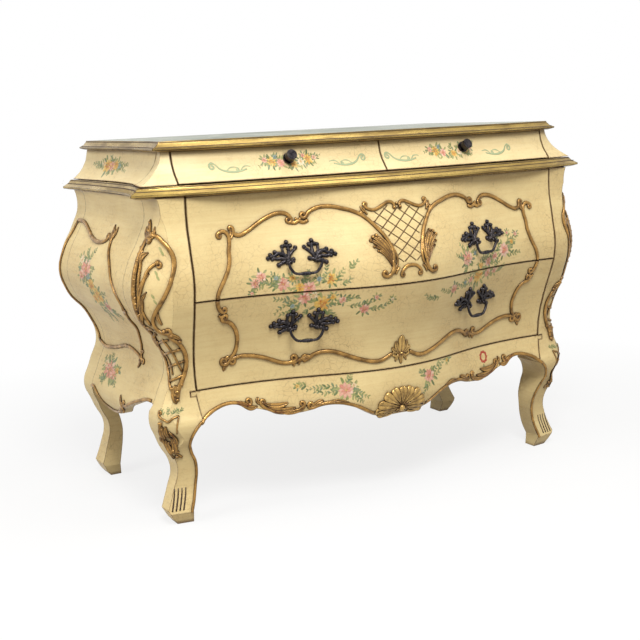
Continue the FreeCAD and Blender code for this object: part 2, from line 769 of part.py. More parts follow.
def large_drawer(word, levels, box_half, side_base, side_top, back):
    """One bombe drawer: thick serpentine front and a plain box that follows it."""
    name = word + "_drawer"
    body = new_body(name + "_front")
    serpentine_strip(body, name, levels, drawer_half, drawer_front, coopered=True)
    made = [body]

    for side, hand in ((-1, "left"), (1, "right")):
        board_body = new_body("%s_%s_board" % (name, hand))
        edge = [(y + 0.7 * drawer_front, z)
                for z, y in part_of(FRONT_LINE, side_top, side_base)]
        shift = box_half if side > 0 else drawer_side - box_half
        sk = sketch_on(board_body, "YZ_Plane", "%s_%s_side_outline" % (name, hand),
                       offset=shift - drawer_side)
        draw(sk, [edge, [edge[-1], (back, side_base)], [(back, side_base), (back, side_top)],
                  [(back, side_top), edge[0]]])
        pad(board_body, sk, drawer_side, driver="Dims.drawer_side")
        made.append(seated(board_body, body, "%s_%s_side" % (name, hand)))

    inside = box_half - drawer_side
    level = side_base + 6.0
    made.append(plank(name + "_back", -inside, inside, back - drawer_side, back,
                      level + drawer_bottom, side_top - 4.0))

    bottom = new_body(name + "_bottom")
    end_y = reading(FRONT_LINE, level) + drawer_front + 3.0
    edge = serpentine(inside, end_y, reading(SWELL, level) + COOPERED_HOLLOW)
    sk = sketch_on(bottom, "XY_Plane", name + "_bottom_plan", level)
    draw(sk, closed(*edge, (inside, back), (-inside, back)))
    pad(bottom, sk, drawer_bottom, driver="Dims.drawer_bottom")
    made.append(bottom)
    return made


# Gilt frame round the lattice in the middle of the upper drawer, (x, height).
LATTICE_FRAME = [(0.0, 706.0), (-36.0, 703.0), (-66.0, 690.0), (-98.0, 692.0), (-80.0, 665.0),
                 (-60.0, 630.0), (-46.0, 592.0), (-48.0, 556.0), (-20.0, 562.0), (0.0, 570.0),
                 (20.0, 562.0), (48.0, 556.0), (46.0, 592.0), (60.0, 630.0), (80.0, 665.0),
                 (98.0, 692.0), (66.0, 690.0), (36.0, 703.0)]


def lattice_frame():
    """Carved frame of the middle panel, on the crest of the upper drawer's swell."""
    body = new_body("lattice_frame")
    serpentine_strip(body, "lattice_frame", UPPER_LEVELS, drawer_half, FRAME_RELIEF,
                     FRAME_RELIEF + 0.2)
    saw_ring(body, "XZ_Plane", "lattice_frame", LATTICE_FRAME, 10.0)
    return body


# ---------------------------------------------------------------- bottom rail, apron and shell

# Right half of the scalloped edge, (x, height), from the middle to the leg.
APRON_SCALLOP = [(0.0, 196.0), (40.0, 196.0), (70.0, 202.0), (92.0, 214.0), (122.0, 230.0),
                 (155.0, 240.0), (190.0, 241.0), (222.0, 233.0), (262.0, 229.0), (298.0, 232.0),
                 (325.0, 245.0), (350.0, 253.0), (375.0, 263.0), (408.0, 268.0), (440.0, 261.0),
                 (463.0, 250.0), (490.0, 232.0)]


def front_apron():
    """Bottom rail and apron in one swelling board, with a tab over each post."""
    body = new_body("front_apron")
    top = lower_drawer_base - 3.0
    joint = DRAWER_EDGE_BASE + front_gap - 0.5

    def half_at(height):
        run = (top - height) / (top - 240.0)
        return joint - 7.0 * run

    serpentine_strip(body, "apron", levels_between(top, 186.0, 5), half_at, 22.0, coopered=True)
    scallop = [(-x, z) for x, z in APRON_SCALLOP[:0:-1]] + APRON_SCALLOP
    left, right = scallop[0], scallop[-1]
    sk = sketch_on(body, "XZ_Plane", "apron_scallop")
    below = 120.0
    draw(sk, [scallop, [right, (right[0], below)], [(right[0], below), (left[0], below)],
              [(left[0], below), left]])
    pocket(body, sk)
    for side, word in ((-1, "left"), (1, "right")):
        base = lower_drawer_base - 14.0 + 0.3
        sk = sketch_on(body, "XZ_Plane", "apron_tab_" + word, offset=-22.0)
        corners = [(joint - 8.0, base), (joint + TAB_HEIGHT - 0.5, base),
                   (joint + TAB_HEIGHT - 0.5, base + TAB_HEIGHT - 2.5),
                   (joint - 8.0, base + TAB_HEIGHT - 2.5)]
        draw(sk, closed(*[(side * x, z) for x, z in corners]))
        pad(body, sk, 15.5)
    return body


SHELL_LOBES = 9
SHELL_HUB = (0.0, 216.0)
SHELL_REACH = (62.0, 46.0)


def apron_shell(apron):
    """Fan of tapered lobes round a hub, lying on the crest of the apron."""
    hub_x, hub_z = SHELL_HUB
    centre = Vector(hub_x, surface_y(apron, hub_x, hub_z) - 2.0, hub_z)
    lobes = []
    for i in range(SHELL_LOBES):
        bearing = math.radians(-15.0 + 210.0 * i / (SHELL_LOBES - 1))
        tip_x = hub_x + SHELL_REACH[0] * math.cos(bearing)
        tip_z = hub_z + SHELL_REACH[1] * math.sin(bearing)
        tip = Vector(tip_x, surface_y(apron, tip_x, tip_z) - 2.0, tip_z)
        lobe = doc.addObject("Part::Wedge", "shell_lobe_%d" % i)
        lobe.Xmin, lobe.Xmax, lobe.Zmin, lobe.Zmax = -2.0, 2.0, -2.0, 2.0
        lobe.X2min, lobe.X2max, lobe.Z2min, lobe.Z2max = -9.0, 9.0, -9.0, 9.0
        lobe.Ymin, lobe.Ymax = 0.0, (tip - centre).Length
        ridge_up = Rotation(Vector(0, 1, 0), 45.0)
        lobe.Placement = Placement(centre, Rotation(Vector(0, 1, 0), tip - centre) * ridge_up)
        lobes.append(lobe)
    hub = doc.addObject("Part::Cylinder", "shell_hub")
    hub.Radius, hub.Height = 9.0, 12.0
    hub.Placement = Placement(centre, Rotation(Vector(0, 0, 1), Vector(0, -1, 0)))
    fan = doc.addObject("Part::MultiFuse", "shell_fan")
    fan.Shapes = lobes + [hub]
    fan.setExpression("Placement.Base.y", "Dims.centring")
    return seated(fan, apron, "apron_shell")


# ---------------------------------------------------------------- handles

# Leafy plate of a drop handle, (outwards, up) from its post, closed.
PLATE = [(-13.0, -6.0), (-4.0, 0.0), (-5.0, 8.0), (-21.0, 14.0), (-19.0, 23.0), (-9.0, 22.0),
         (-1.0, 36.0), (9.0, 29.0), (12.0, 18.0), (34.0, 19.0), (54.0, 4.0), (33.0, -3.0),
         (33.0, -17.0), (24.0, -21.0), (12.0, -9.0), (-6.0, -12.0)]
PLATE_THICK = 3.0
POST_SPREAD = 31.0
POST_REACH = 16.5
KNUCKLE = 4.2
BAIL_WIRE = 2.6
PIN_LENGTH = 11.5
BAIL_DROP = 28.0
BELLY = [(-9.0, 0.0), (-9.0, 4.4), (9.0, 4.4), (9.0, 0.0)]

# Middle of each handle: (drawer, distance from the chest's middle, height).
HANDLES = [("upper", 243.0, 587.0), ("lower", 232.0, 431.0)]


def handle(front, levels, level, side, word, x, height):
    """Two leafy plates with their posts, and the swinging bail between them."""
    name = "%s_%s" % (level, word)
    x *= side
    ends = [surface_y(front, x + side * a, height) for a in (-POST_SPREAD, POST_SPREAD)]
    sweep = side * math.degrees(math.atan2(ends[1] - ends[0], 2.0 * POST_SPREAD))
    seat = 0.5 * (ends[0] + ends[1])
    across = Vector(math.cos(math.radians(sweep)), math.sin(math.radians(sweep)), 0)
    outwards = Vector(across.y, -across.x, 0)
    middle = Vector(x, seat, height)
    pivot = middle + outwards * POST_REACH

    plates = new_body("handle_plates_" + name)
    serpentine_strip(plates, "plates_" + name, levels, drawer_half, PLATE_THICK,
                     PLATE_THICK + 0.2)
    leaves = [[(x + flip * (POST_SPREAD + a), height + b) for a, b in PLATE]
              for flip in (-1.0, 1.0)]
    saw_out(plates, "XZ_Plane", "plates_" + name, leaves)
    for flip in (-1.0, 1.0):
        foot = middle + across * (flip * POST_SPREAD)
        proud = foot.y - surface_y(front, foot.x, height) + 1.7
        where = (middle.dot(across) + flip * POST_SPREAD, height)
        tag = "plates_%s_%s" % (name, "outer" if flip == side else "inner")
        stem = sketch_on(plates, "XZ_Plane", tag + "_stem", middle.dot(outwards) + proud, sweep)
        draw(stem, closed(*[(where[0] + a * KNUCKLE, where[1] + b * KNUCKLE)
                            for a, b in ((-1, -1), (1, -1), (1, 1), (-1, 1))]))
        pad(plates, stem, POST_REACH + KNUCKLE - proud)
        centre = Vector(-middle.dot(outwards) - POST_REACH, height, 0)
        bore = sketch_on(plates, "YZ_Plane", tag + "_bore", where[0] - KNUCKLE - 1.0, sweep)
        bore.addGeometry(Part.Circle(centre, Vector(0, 0, 1), BAIL_WIRE + 0.3), False)
        hole = pocket(plates, bore, 2.0 * KNUCKLE + 2.0)
        hole.SideType = "One side"
        hole.Reversed = True

    bail = doc.addObject("PartDesign::Body", "bail_" + name)
    bail.Label = "bail_" + name
    half = bail_half_path()
    path = sketch_on(bail, "XZ_Plane", "bail_%s_path" % name)
    for a, b in straight(half + [(-a, b) for a, b in half[::-1]]):
        path.addGeometry(Part.LineSegment(Vector(*a, 0), Vector(*b, 0)), False)
    wire = sketch_on(bail, "YZ_Plane", "bail_%s_wire" % name, offset=half[0][0])
    corners = [math.radians(22.5 + 45.0 * i) for i in range(8)]
    radius = BAIL_WIRE - 0.1
    draw(wire, closed(*[(radius * math.cos(a), radius * math.sin(a)) for a in corners]))
    pipe = bail.newObject("PartDesign::AdditivePipe", "bail_%s_pipe" % name)
    pipe.Profile = wire
    pipe.Spine = path
    pipe.Transition = "Right corner"
    for flip, hand in ((-1.0, "left"), (1.0, "right")):
        start = half[0][0] if flip > 0 else -half[0][0] - PIN_LENGTH
        pin = sketch_on(bail, "YZ_Plane", "bail_%s_%s_pin" % (name, hand), offset=start)
        pin.addGeometry(Part.Circle(Vector(0, 0, 0), Vector(0, 0, 1), BAIL_WIRE), False)
        pad(bail, pin, PIN_LENGTH)
    belly = sketch_on(bail, "XZ_Plane", "bail_%s_belly" % name)
    draw(belly, closed(*[(a, b - BAIL_DROP) for a, b in BELLY]))
    spin = bail.newObject("PartDesign::Revolution", "bail_%s_turning" % name)
    spin.Profile = belly
    axis = sketch_on(bail, "XZ_Plane", "bail_%s_axis" % name)
    axis.addGeometry(Part.LineSegment(Vector(-20, -BAIL_DROP, 0), Vector(20, -BAIL_DROP, 0)),
                     False)
    spin.ReferenceAxis = (axis, ["Edge1"])
    spin.Angle = 360.0
    bail.Placement = Placement(pivot, Rotation(Vector(0, 0, 1), sweep))
    bail.setExpression("Placement.Base.y", "Dims.centring + %.3f" % pivot.y)
    print("%-20s pivot x %.2f y %.2f z %.2f, turned %.2f degrees" % (
        bail.Label, pivot.x, pivot.y + dims.centring, pivot.z, sweep))
    return [plates, bail]


def bail_half_path():
    """Right half of the bail's centre line, from the pin to its level grip."""
    elbow, corner = 3.0, 16.0
    leg = POST_SPREAD + 9.5
    short = 0.3 * corner
    low = -BAIL_DROP
    return [(POST_SPREAD - 5.0, 0.0), (leg - elbow, 0.0), (leg, -elbow), (leg, low + corner),
            (leg - short, low + short), (leg - corner, low)]


# ---------------------------------------------------------------- boards inside the case

def waist_board():
    """Board between the frieze and the lower case; the small drawers run on it."""
    body = new_body("waist_board")
    front = front_line(WAIST_LIP_FRONT, WAIST_INNER)
    right = side_line(WAIST_LIP_SIDE, WAIST_INNER, 1)
    left = side_line(WAIST_LIP_SIDE, WAIST_INNER, -1)
    sk = sketch_on(body, "XY_Plane", "waist_board_plan", waist_underside)
    draw(sk, closed(*front, *right[1:], *left[:0:-1]))
    pad(body, sk, waist_top - waist_underside, driver="Dims.waist_top - Dims.waist_underside")
    return body


def drawer_rail():
    """Rail between the two large drawers, its front edge following their backs."""
    body = new_body("drawer_rail")
    base, thick, back = drawer_split - 12.5, 18.0, 70.0
    half = DRAWER_EDGE_TOP + front_gap - 1.0
    edge = serpentine(half, reading(FRONT_LINE, base) + drawer_front + 4.0, reading(SWELL, base))
    sk = sketch_on(body, "XY_Plane", "drawer_rail_plan", base)
    draw(sk, closed(*edge, (half, back), (-half, back)))
    pad(body, sk, thick)
    return body


def runner_pair(word, x0, x1, top):
    """Left and right runner of one large drawer."""
    rails = []
    for side, hand in ((-1, "left"), (1, "right")):
        a, b = sorted((side * x0, side * x1))
        rails.append(plank("%s_runner_%s" % (word, hand), a, b, post_back, back_post_front,
                           top - 20.0, top))
    pair = doc.addObject("Part::Compound", word + "_runners")
    pair.Label = word + "_runners"
    pair.Links = rails
    return pair


parts = [top_board()]
parts += moulding("top_moulding", TOP_LIP_FRONT, TOP_LIP_SIDE, TOP_EDGE, TOP_INNER)
parts += moulding("waist_moulding", WAIST_LIP_FRONT, WAIST_LIP_SIDE, WAIST_EDGE, WAIST_INNER)
parts.append(waist_board())
for side, word in ((-1, "left"), (1, "right")):
    parts += [corner_block(side, word), frieze_side(side, word)] + small_drawer(side, word)
    post = post_front(side, word)
    saw_corner_flat(post, side, word)
    cut_tab_seat(post, side, word)
    parts += [post, post_back_leg(side, word), side_panel(side, word), side_frame(side, word)]

upper = large_drawer("upper", UPPER_LEVELS, 474.0, 524.0, 716.0, 505.0)
lower = large_drawer("lower", LOWER_LEVELS, 462.0, 318.0, 498.0, 505.0)
parts += upper + lower
parts.append(lattice_frame())
for (level, x, height), front, levels in zip(HANDLES, (upper[0], lower[0]),
                                             (UPPER_LEVELS, LOWER_LEVELS)):
    for side, word in ((-1, "left"), (1, "right")):
        parts += handle(front, levels, level, side, word, x, height)

apron = front_apron()
parts += [apron, apron_shell(apron)]
back_face = carcase_depth - 14.0
parts.append(plank("frieze_divider", -6.0, 6.0, 50.0, back_face, waist_top, frieze_top))
parts.append(plank("frieze_back", -494.0, 494.0, back_face, carcase_depth, waist_top, frieze_top))
parts.append(drawer_rail())
parts.append(runner_pair("upper", 455.0, 520.0, 523.5))
parts.append(runner_pair("lower", 443.0, 520.0, 317.5))
parts.append(plank("bottom_board", -483.0, 483.0, 30.0, back_face, 285.5, 297.5))
parts.append(plank("back_panel", -500.0, 500.0, back_face, carcase_depth, 264.0, waist_underside))

# ---------------------------------------------------------------- check and write

doc.recompute()
faults = [o.Name for o in doc.Objects if "Invalid" in o.State or "Error" in o.State]
if faults:
    raise RuntimeError("objects that failed to recompute: %s" % faults)
for part in parts:
    if part.Shape.isNull() or not part.Shape.isValid():
        raise RuntimeError("bad shape: %s" % part.Label)

os.makedirs("parts", exist_ok=True)
for part in parts:
    part.Shape.exportStep("parts/%s.step" % part.Label)
    box = part.Shape.BoundBox
    print("%-32s solids %d  volume %.0f  x %.0f..%.0f y %.0f..%.0f z %.0f..%.0f" % (
        part.Label, len(part.Shape.Solids), part.Shape.Volume, box.XMin, box.XMax, box.YMin,
        box.YMax, box.ZMin, box.ZMax))
print(len(parts), "parts")
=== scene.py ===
import json
import math
import random

import bpy
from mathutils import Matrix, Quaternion, Vector
from mathutils.bvhtree import BVHTree

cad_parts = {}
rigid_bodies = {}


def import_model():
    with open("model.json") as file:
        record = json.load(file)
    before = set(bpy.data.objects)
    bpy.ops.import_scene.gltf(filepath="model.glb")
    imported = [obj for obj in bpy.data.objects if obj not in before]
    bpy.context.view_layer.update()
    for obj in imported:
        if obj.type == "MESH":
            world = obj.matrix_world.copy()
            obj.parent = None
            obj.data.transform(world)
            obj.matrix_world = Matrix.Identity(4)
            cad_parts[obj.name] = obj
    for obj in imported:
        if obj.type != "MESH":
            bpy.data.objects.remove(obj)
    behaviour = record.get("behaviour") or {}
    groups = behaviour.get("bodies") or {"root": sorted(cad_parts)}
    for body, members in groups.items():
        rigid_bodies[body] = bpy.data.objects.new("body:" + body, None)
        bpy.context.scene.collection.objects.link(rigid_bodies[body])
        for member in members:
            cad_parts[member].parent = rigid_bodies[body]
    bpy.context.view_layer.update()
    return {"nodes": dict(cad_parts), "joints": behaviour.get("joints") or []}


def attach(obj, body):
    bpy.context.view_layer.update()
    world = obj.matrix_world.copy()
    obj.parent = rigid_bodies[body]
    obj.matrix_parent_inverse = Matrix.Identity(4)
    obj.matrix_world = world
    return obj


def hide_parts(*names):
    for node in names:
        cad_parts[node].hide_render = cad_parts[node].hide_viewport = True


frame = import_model()
nodes = frame["nodes"]

# ---------------------------------------------------------------- camera
# A standing viewer's place, to the left of the chest and a little above its top. The lens is long,
# and the picture leans by a small roll.

camera_place = Vector((-1.4582, -2.5400, 0.9119))
camera_yaw, camera_pitch, camera_roll = (math.radians(v) for v in (28.682, 10.185, -2.457))
focal_pixels, picture_width = 1167.92, 640
sensor_width = 36.0

looking = Vector((math.sin(camera_yaw) * math.cos(camera_pitch),
                  math.cos(camera_yaw) * math.cos(camera_pitch), -math.sin(camera_pitch)))
aim = looking.to_track_quat("-Z", "Y") @ Quaternion((0, 0, 1), camera_roll)
bpy.ops.object.camera_add(location=camera_place, rotation=aim.to_euler())
camera = bpy.context.object
camera.data.sensor_width = sensor_width
camera.data.lens = focal_pixels * sensor_width / picture_width
camera.data.shift_x, camera.data.shift_y = 0.0079, 0.0002
bpy.context.scene.camera = camera

# ---------------------------------------------------------------- floor and light
# A plain pale floor that fades to white away from the chest, a broad lamp high at the front left,
# a weaker one at the left, one nearly overhead, and a pale world all round.

def put(tree, kind, *values, **settings):
    """Add a shader node, set its properties, and link or set its inputs given as (name, value)."""
    node = tree.nodes.new("ShaderNode" + kind)
    for name, value in settings.items():
        setattr(node, name, value)
    for name, value in values:
        if isinstance(value, bpy.types.NodeSocket):
            tree.links.new(value, node.inputs[name])
        else:
            node.inputs[name].default_value = value
    return node


def seen_ray(tree, path):
    """1 for a ray that shows the background: from the camera, or off metal, or through glass."""
    mirrored = put(tree, "Math", (0, path.outputs["Is Glossy Ray"]),
                   (1, path.outputs["Is Transmission Ray"]), operation="MAXIMUM")
    return put(tree, "Math", (0, path.outputs["Is Camera Ray"]), (1, mirrored.outputs[0]),
               operation="MAXIMUM").outputs[0]


floor_size = 24.0
fade_start, fade_end = 0.9, 1.8
seen_tone, bounced_tone = (0.86, 0.86, 0.85, 1), (0.3, 0.27, 0.24, 1)
white = (1, 1, 1, 1)

bpy.ops.object.select_all(action="DESELECT")
bpy.ops.mesh.primitive_plane_add(size=floor_size)
floor = bpy.context.object
floor.name = "floor"
floor_paint = bpy.data.materials.new("floor_white")
floor_paint.use_nodes = True
floor_tree = floor_paint.node_tree
floor_shader = floor_tree.nodes["Principled BSDF"]
floor_shader.inputs["Roughness"].default_value = 0.8
floor_spot = put(floor_tree, "TexCoord")
floor_reach = put(floor_tree, "VectorMath", (0, floor_spot.outputs["Object"]), operation="LENGTH")
floor_fade = put(floor_tree, "MapRange", ("Value", floor_reach.outputs["Value"]),
                 ("From Min", fade_start), ("From Max", fade_end), ("To Min", 0.8), ("To Max", 1.0))
floor_path = put(floor_tree, "LightPath")
floor_share = put(floor_tree, "Math", (0, seen_ray(floor_tree, floor_path)),
                  (1, floor_fade.outputs[0]), operation="MULTIPLY")
floor_tone = put(floor_tree, "Mix", (0, floor_path.outputs["Is Camera Ray"]), (6, bounced_tone),
                 (7, seen_tone), data_type="RGBA")
floor_tree.links.new(floor_tone.outputs[2], floor_shader.inputs["Base Color"])
floor_glow = put(floor_tree, "Emission", ("Color", white), ("Strength", 1.0))
floor_mix = put(floor_tree, "MixShader", ("Fac", floor_share.outputs[0]),
                (1, floor_shader.outputs[0]), (2, floor_glow.outputs[0]))
floor_tree.links.new(floor_mix.outputs[0], floor_tree.nodes["Material Output"].inputs["Surface"])
floor.data.materials.append(floor_paint)

scene_world = bpy.data.worlds.new("studio")
bpy.context.scene.world = scene_world
scene_world.use_nodes = True
world_tree = scene_world.node_tree
soft_sky = world_tree.nodes["Background"]
soft_sky.inputs["Color"].default_value = (1.0, 0.97, 0.93, 1)
soft_sky.inputs["Strength"].default_value = 0.34
white_sky = put(world_tree, "Background", ("Color", white), ("Strength", 1.0))
sky_seen = seen_ray(world_tree, put(world_tree, "LightPath"))
sky_mix = put(world_tree, "MixShader", ("Fac", sky_seen), (1, soft_sky.outputs[0]),
              (2, white_sky.outputs[0]))
world_tree.links.new(sky_mix.outputs[0], world_tree.nodes["World Output"].inputs["Surface"])

chest_middle = Vector((0, 0, 0.5))
for lamp_name, lamp_place, lamp_size, lamp_power in (
    ("key_lamp", Vector((-0.9, -2.3, 3.0)), 1.2, 92.0),
    ("fill_lamp", Vector((-3.2, -0.3, 2.0)), 1.6, 40.0),
    ("top_lamp", Vector((0.6, -0.8, 3.1)), 1.6, 22.0),
):
    to_chest = chest_middle - lamp_place
    bpy.ops.object.light_add(type="AREA", location=lamp_place,
                             rotation=to_chest.to_track_quat("-Z", "Y").to_euler())
    lamp = bpy.context.object
    lamp.name = lamp_name
    lamp.data.size = lamp_size
    lamp.data.energy = lamp_power

bpy.context.scene.view_settings.view_transform = "Standard"

# ---------------------------------------------------------------- painted boards
# The case, drawer fronts, posts and frieze are wood under cream paint. The paint has gone patchy
# under its varnish, it is finely cracked, and it is rubbed through to brown wood along edges.

def as_shown(red, green, blue):
    """A colour mixed as it is seen, 0 to 255, in the linear values that a shader takes."""
    return tuple((v / 255 / 12.92) if v < 11 else ((v / 255 + 0.055) / 1.055) ** 2.4
                 for v in (red, green, blue)) + (1.0,)


class Group:
    """A shader group under way: its tree, its inputs, and short words for its nodes."""

    def __init__(self, name, colours, **numbers):
        self.tree = bpy.data.node_groups.new(name, "ShaderNodeTree")
        inputs = [(word, "Color", (0.5, 0.5, 0.5, 1)) for word in colours]
        inputs += [(word, "Vector" if isinstance(value, tuple) else "Float", value)
                   for word, value in numbers.items()]
        for word, kind, value in inputs:
            socket = self.tree.interface.new_socket(name=word, in_out="INPUT",
                                                    socket_type="NodeSocket" + kind)
            socket.default_value = value
        self.takes = self.tree.nodes.new("NodeGroupInput").outputs
        self.spot = put(self.tree, "TexCoord").outputs["Object"]

    def noise(self, scale, detail, roughness=0.5, at=None, distortion=0.0, part="Fac"):
        node = put(self.tree, "TexNoise", ("Vector", self.spot if at is None else at),
                   ("Scale", scale), ("Detail", detail), ("Roughness", roughness),
                   ("Distortion", distortion))
        return node.outputs[part]

    def vector(self, how, first, second):
        return put(self.tree, "VectorMath", (0, first), (1, second), operation=how)

    def reckoned(self, how, first, second=0.0):
        return put(self.tree, "Math", (0, first), (1, second), operation=how).outputs[0]

    def stretched(self, scale):
        """The place on the piece, drawn out along some of its axes."""
        return put(self.tree, "Mapping", ("Vector", self.spot), ("Scale", scale)).outputs[0]

    def blended(self, share, first, second):
        """Colour between two colours; the share may be a socket or a number."""
        return put(self.tree, "Mix", (0, share), (6, first), (7, second),
                   data_type="RGBA").outputs[2]

    def steepened(self, value, low, high, least=0.0, most=1.0):
        """A value stretched between two limits and held there."""
        return put(self.tree, "MapRange", ("Value", value), ("From Min", low), ("From Max", high),
                   ("To Min", least), ("To Max", most)).outputs[0]

    def arrises(self, radius):
        """How sharply the surface turns within a radius, nothing on the flat."""
        rounded = put(self.tree, "Bevel", ("Radius", radius), samples=4).outputs[0]
        flat = put(self.tree, "NewGeometry").outputs["Normal"]
        match = self.vector("DOT_PRODUCT", rounded, flat).outputs["Value"]
        return self.reckoned("SUBTRACT", 1.0, match)

    def shelter(self, reach):
        """How open the surface is to its surroundings within a reach."""
        return put(self.tree, "AmbientOcclusion", ("Distance", reach), samples=6).outputs["AO"]

    def gives(self, **values):
        for word in values:
            self.tree.interface.new_socket(name=word, in_out="OUTPUT", socket_type="NodeSocket"
                                           + ("Color" if word == "Color" else "Float"))
        exits = self.tree.nodes.new("NodeGroupOutput").inputs
        for word, value in values.items():
            self.tree.links.new(value, exits[word])


g = Group("aged_paint", ("Paint", "Glaze", "Wood"), Patchy=0.5, Rubbed=0.5)
patches = g.noise(7.0, 7.0, 0.62)
strokes = g.noise(2.2, 4.0, 0.7, at=g.stretched((5.0, 5.0, 70.0)))
speckle = g.noise(260.0, 4.0, 0.7)
wander = g.vector("MULTIPLY", g.noise(40.0, 2.0, part="Color"), (0.02, 0.02, 0.02)).outputs[0]
crack_at = g.vector("ADD", wander, g.spot).outputs[0]
cracks = put(g.tree, "TexVoronoi", ("Vector", crack_at), ("Scale", 75.0),
             feature="DISTANCE_TO_EDGE").outputs["Distance"]
cracks = g.reckoned("MULTIPLY", g.steepened(cracks, 0.0, 0.035, 1.0, 0.0),
                    g.steepened(patches, 0.42, 0.62, 0.0, 0.42))
patch_share = g.reckoned("MULTIPLY", g.steepened(patches, 0.36, 0.7), g.takes["Patchy"])
shade = g.blended(patch_share, g.takes["Paint"], g.takes["Glaze"])
shade = g.blended(g.steepened(strokes, 0.4, 0.75, 0.0, 0.28), shade, g.takes["Glaze"])
shade = g.blended(g.steepened(speckle, 0.5, 0.75, 0.0, 0.22), shade, g.takes["Glaze"])
shade = g.blended(cracks, shade, g.takes["Wood"])
chips = g.steepened(g.noise(85.0, 5.0, 0.65), 0.45, 0.7, 0.0, 0.3)
edge = g.reckoned("MULTIPLY", g.arrises(0.0045), g.reckoned("ADD", chips, 0.25))
edge = g.steepened(g.reckoned("MULTIPLY", edge, g.takes["Rubbed"]), 0.012, 0.05)
# Browner where the surface is enclosed, by the carving, handles and inner corners: glaze gathered
# there, and painted shade.
glaze_and_shade_near_carving = g.steepened(g.shelter(0.011), 0.45, 0.92, 0.75, 0.0)
shade = g.blended(glaze_and_shade_near_carving, shade, g.takes["Wood"])
rise = g.reckoned("SUBTRACT", g.reckoned("MULTIPLY", strokes, 0.5), cracks)
g.gives(Color=g.blended(edge, shade, g.takes["Wood"]),
        Roughness=g.steepened(strokes, 0.2, 0.8, 0.38, 0.56),
        Height=g.reckoned("SUBTRACT", rise, edge))
aged_paint = g.tree


def finish_of(name, group, bump, **settings):
    """A material whose shader is fed by a group: its colour, roughness, metal and height."""
    material = bpy.data.materials.new(name)
    material.use_nodes = True
    tree = material.node_tree
    shader = tree.nodes["Principled BSDF"]
    source = tree.nodes.new("ShaderNodeGroup")
    source.node_tree = group
    for word, value in settings.items():
        if word in source.inputs:
            source.inputs[word].default_value = value
        else:
            shader.inputs[word.replace("_", " ")].default_value = value
    for output, socket in (("Color", "Base Color"), ("Roughness", "Roughness"),
                           ("Metallic", "Metallic")):
        if output in source.outputs:
            tree.links.new(source.outputs[output], shader.inputs[socket])
    relief = put(tree, "Bump", ("Height", source.outputs["Height"]), ("Distance", bump),
                 ("Strength", 0.6))
    tree.links.new(relief.outputs[0], shader.inputs["Normal"])
    return material


def clothe(starts, material):
    """Give one finish to the CAD nodes whose names start in certain ways."""
    for name, node in nodes.items():
        if name.startswith(starts):
            node.data.materials.clear()
            node.data.materials.append(material)


cream_paint = finish_of("cream_paint", aged_paint, 0.0012, Paint=as_shown(239, 217, 158),
                        Glaze=as_shown(206, 170, 108), Wood=as_shown(92, 54, 28),
                        Patchy=0.4, Rubbed=0.8)
frieze_paint = finish_of("frieze_paint", aged_paint, 0.0010, Paint=as_shown(238, 218, 166),
                         Glaze=as_shown(212, 180, 118), Wood=as_shown(110, 74, 36),
                         Patchy=0.35, Rubbed=0.5)

# ---------------------------------------------------------------- bare wood inside
# Drawer boxes, runners, boards and the back are plain softwood, gone tan with age, with grain
# that runs along the board.

g = Group("bare_wood", ("Pale", "Dark"), Grain=(1.6, 26.0, 26.0))
drawn_out = g.stretched(g.takes["Grain"])
grain = g.noise(3.0, 8.0, 0.6, at=drawn_out, distortion=0.6)
pores = g.noise(22.0, 3.0, at=drawn_out)
shade = g.blended(g.steepened(grain, 0.36, 0.66), g.takes["Pale"], g.takes["Dark"])
g.gives(Color=g.blended(g.steepened(pores, 0.55, 0.75, 0.0, 0.35), shade, g.takes["Dark"]),
        Roughness=g.steepened(grain, 0.2, 0.8, 0.62, 0.8), Height=grain)
bare_wood = g.tree
box_tones = {"Pale": as_shown(196, 158, 108), "Dark": as_shown(148, 106, 64)}
box_wood = finish_of("box_wood", bare_wood, 0.0006, **box_tones)
side_wood = finish_of("side_wood", bare_wood, 0.0006, Grain=(26.0, 1.6, 26.0), **box_tones)
back_wood = finish_of("back_wood", bare_wood, 0.0008, Pale=as_shown(150, 112, 72),
                      Dark=as_shown(98, 66, 40))
drawers = ("upper_drawer", "lower_drawer", "small_drawer_left", "small_drawer_right")
clothe(drawers, box_wood)
clothe(tuple(name for name in nodes if name.startswith(drawers) and name.endswith("_side")),
       side_wood)
clothe(("upper_runners", "lower_runners", "drawer_rail", "bottom_board", "back_panel",
        "frieze_back", "frieze_divider", "waist_board"), back_wood)
clothe(("front_post", "back_post", "side_panel", "upper_drawer_front", "lower_drawer_front",
        "front_apron"), cream_paint)
clothe(("frieze_corner", "frieze_side", "small_drawer_left_front", "small_drawer_right_front"),
       frieze_paint)

# ---------------------------------------------------------------- marbled top and gilt mouldings
# The flat of the top is painted like grey-green marble. The edge mouldings are gilded, brighter
# than the carving, with a brown glaze left in the hollows and on the arrises. The brown in the
# hollows, with the duller metal there, grows with how enclosed the surface is: glaze, and painted
# shade as well.

g = Group("marbling", ("Field", "Vein"))
drift = put(g.tree, "TexNoise", ("Vector", g.spot), ("Scale", 4.0), ("Detail", 6.0)).outputs
vein_at = g.blended(0.35, g.spot, drift["Color"])
veins = put(g.tree, "TexWave", ("Vector", vein_at), ("Scale", 5.5), ("Distortion", 11.0),
            ("Detail", 3.0), ("Detail Scale", 1.6)).outputs["Fac"]
clouds = g.steepened(drift["Fac"], 0.35, 0.7, 0.0, 0.6)
shade = g.blended(clouds, g.takes["Field"], as_shown(74, 84, 70))
g.gives(Color=g.blended(g.steepened(veins, 0.84, 1.0, 0.0, 0.42), shade, g.takes["Vein"]),
        Roughness=g.steepened(clouds, 0.0, 0.6, 0.25, 0.4), Height=clouds)
clothe(("top_board",), finish_of("marbled_top", g.tree, 0.0002, Field=as_shown(128, 134, 112),
                                 Vein=as_shown(196, 196, 172)))

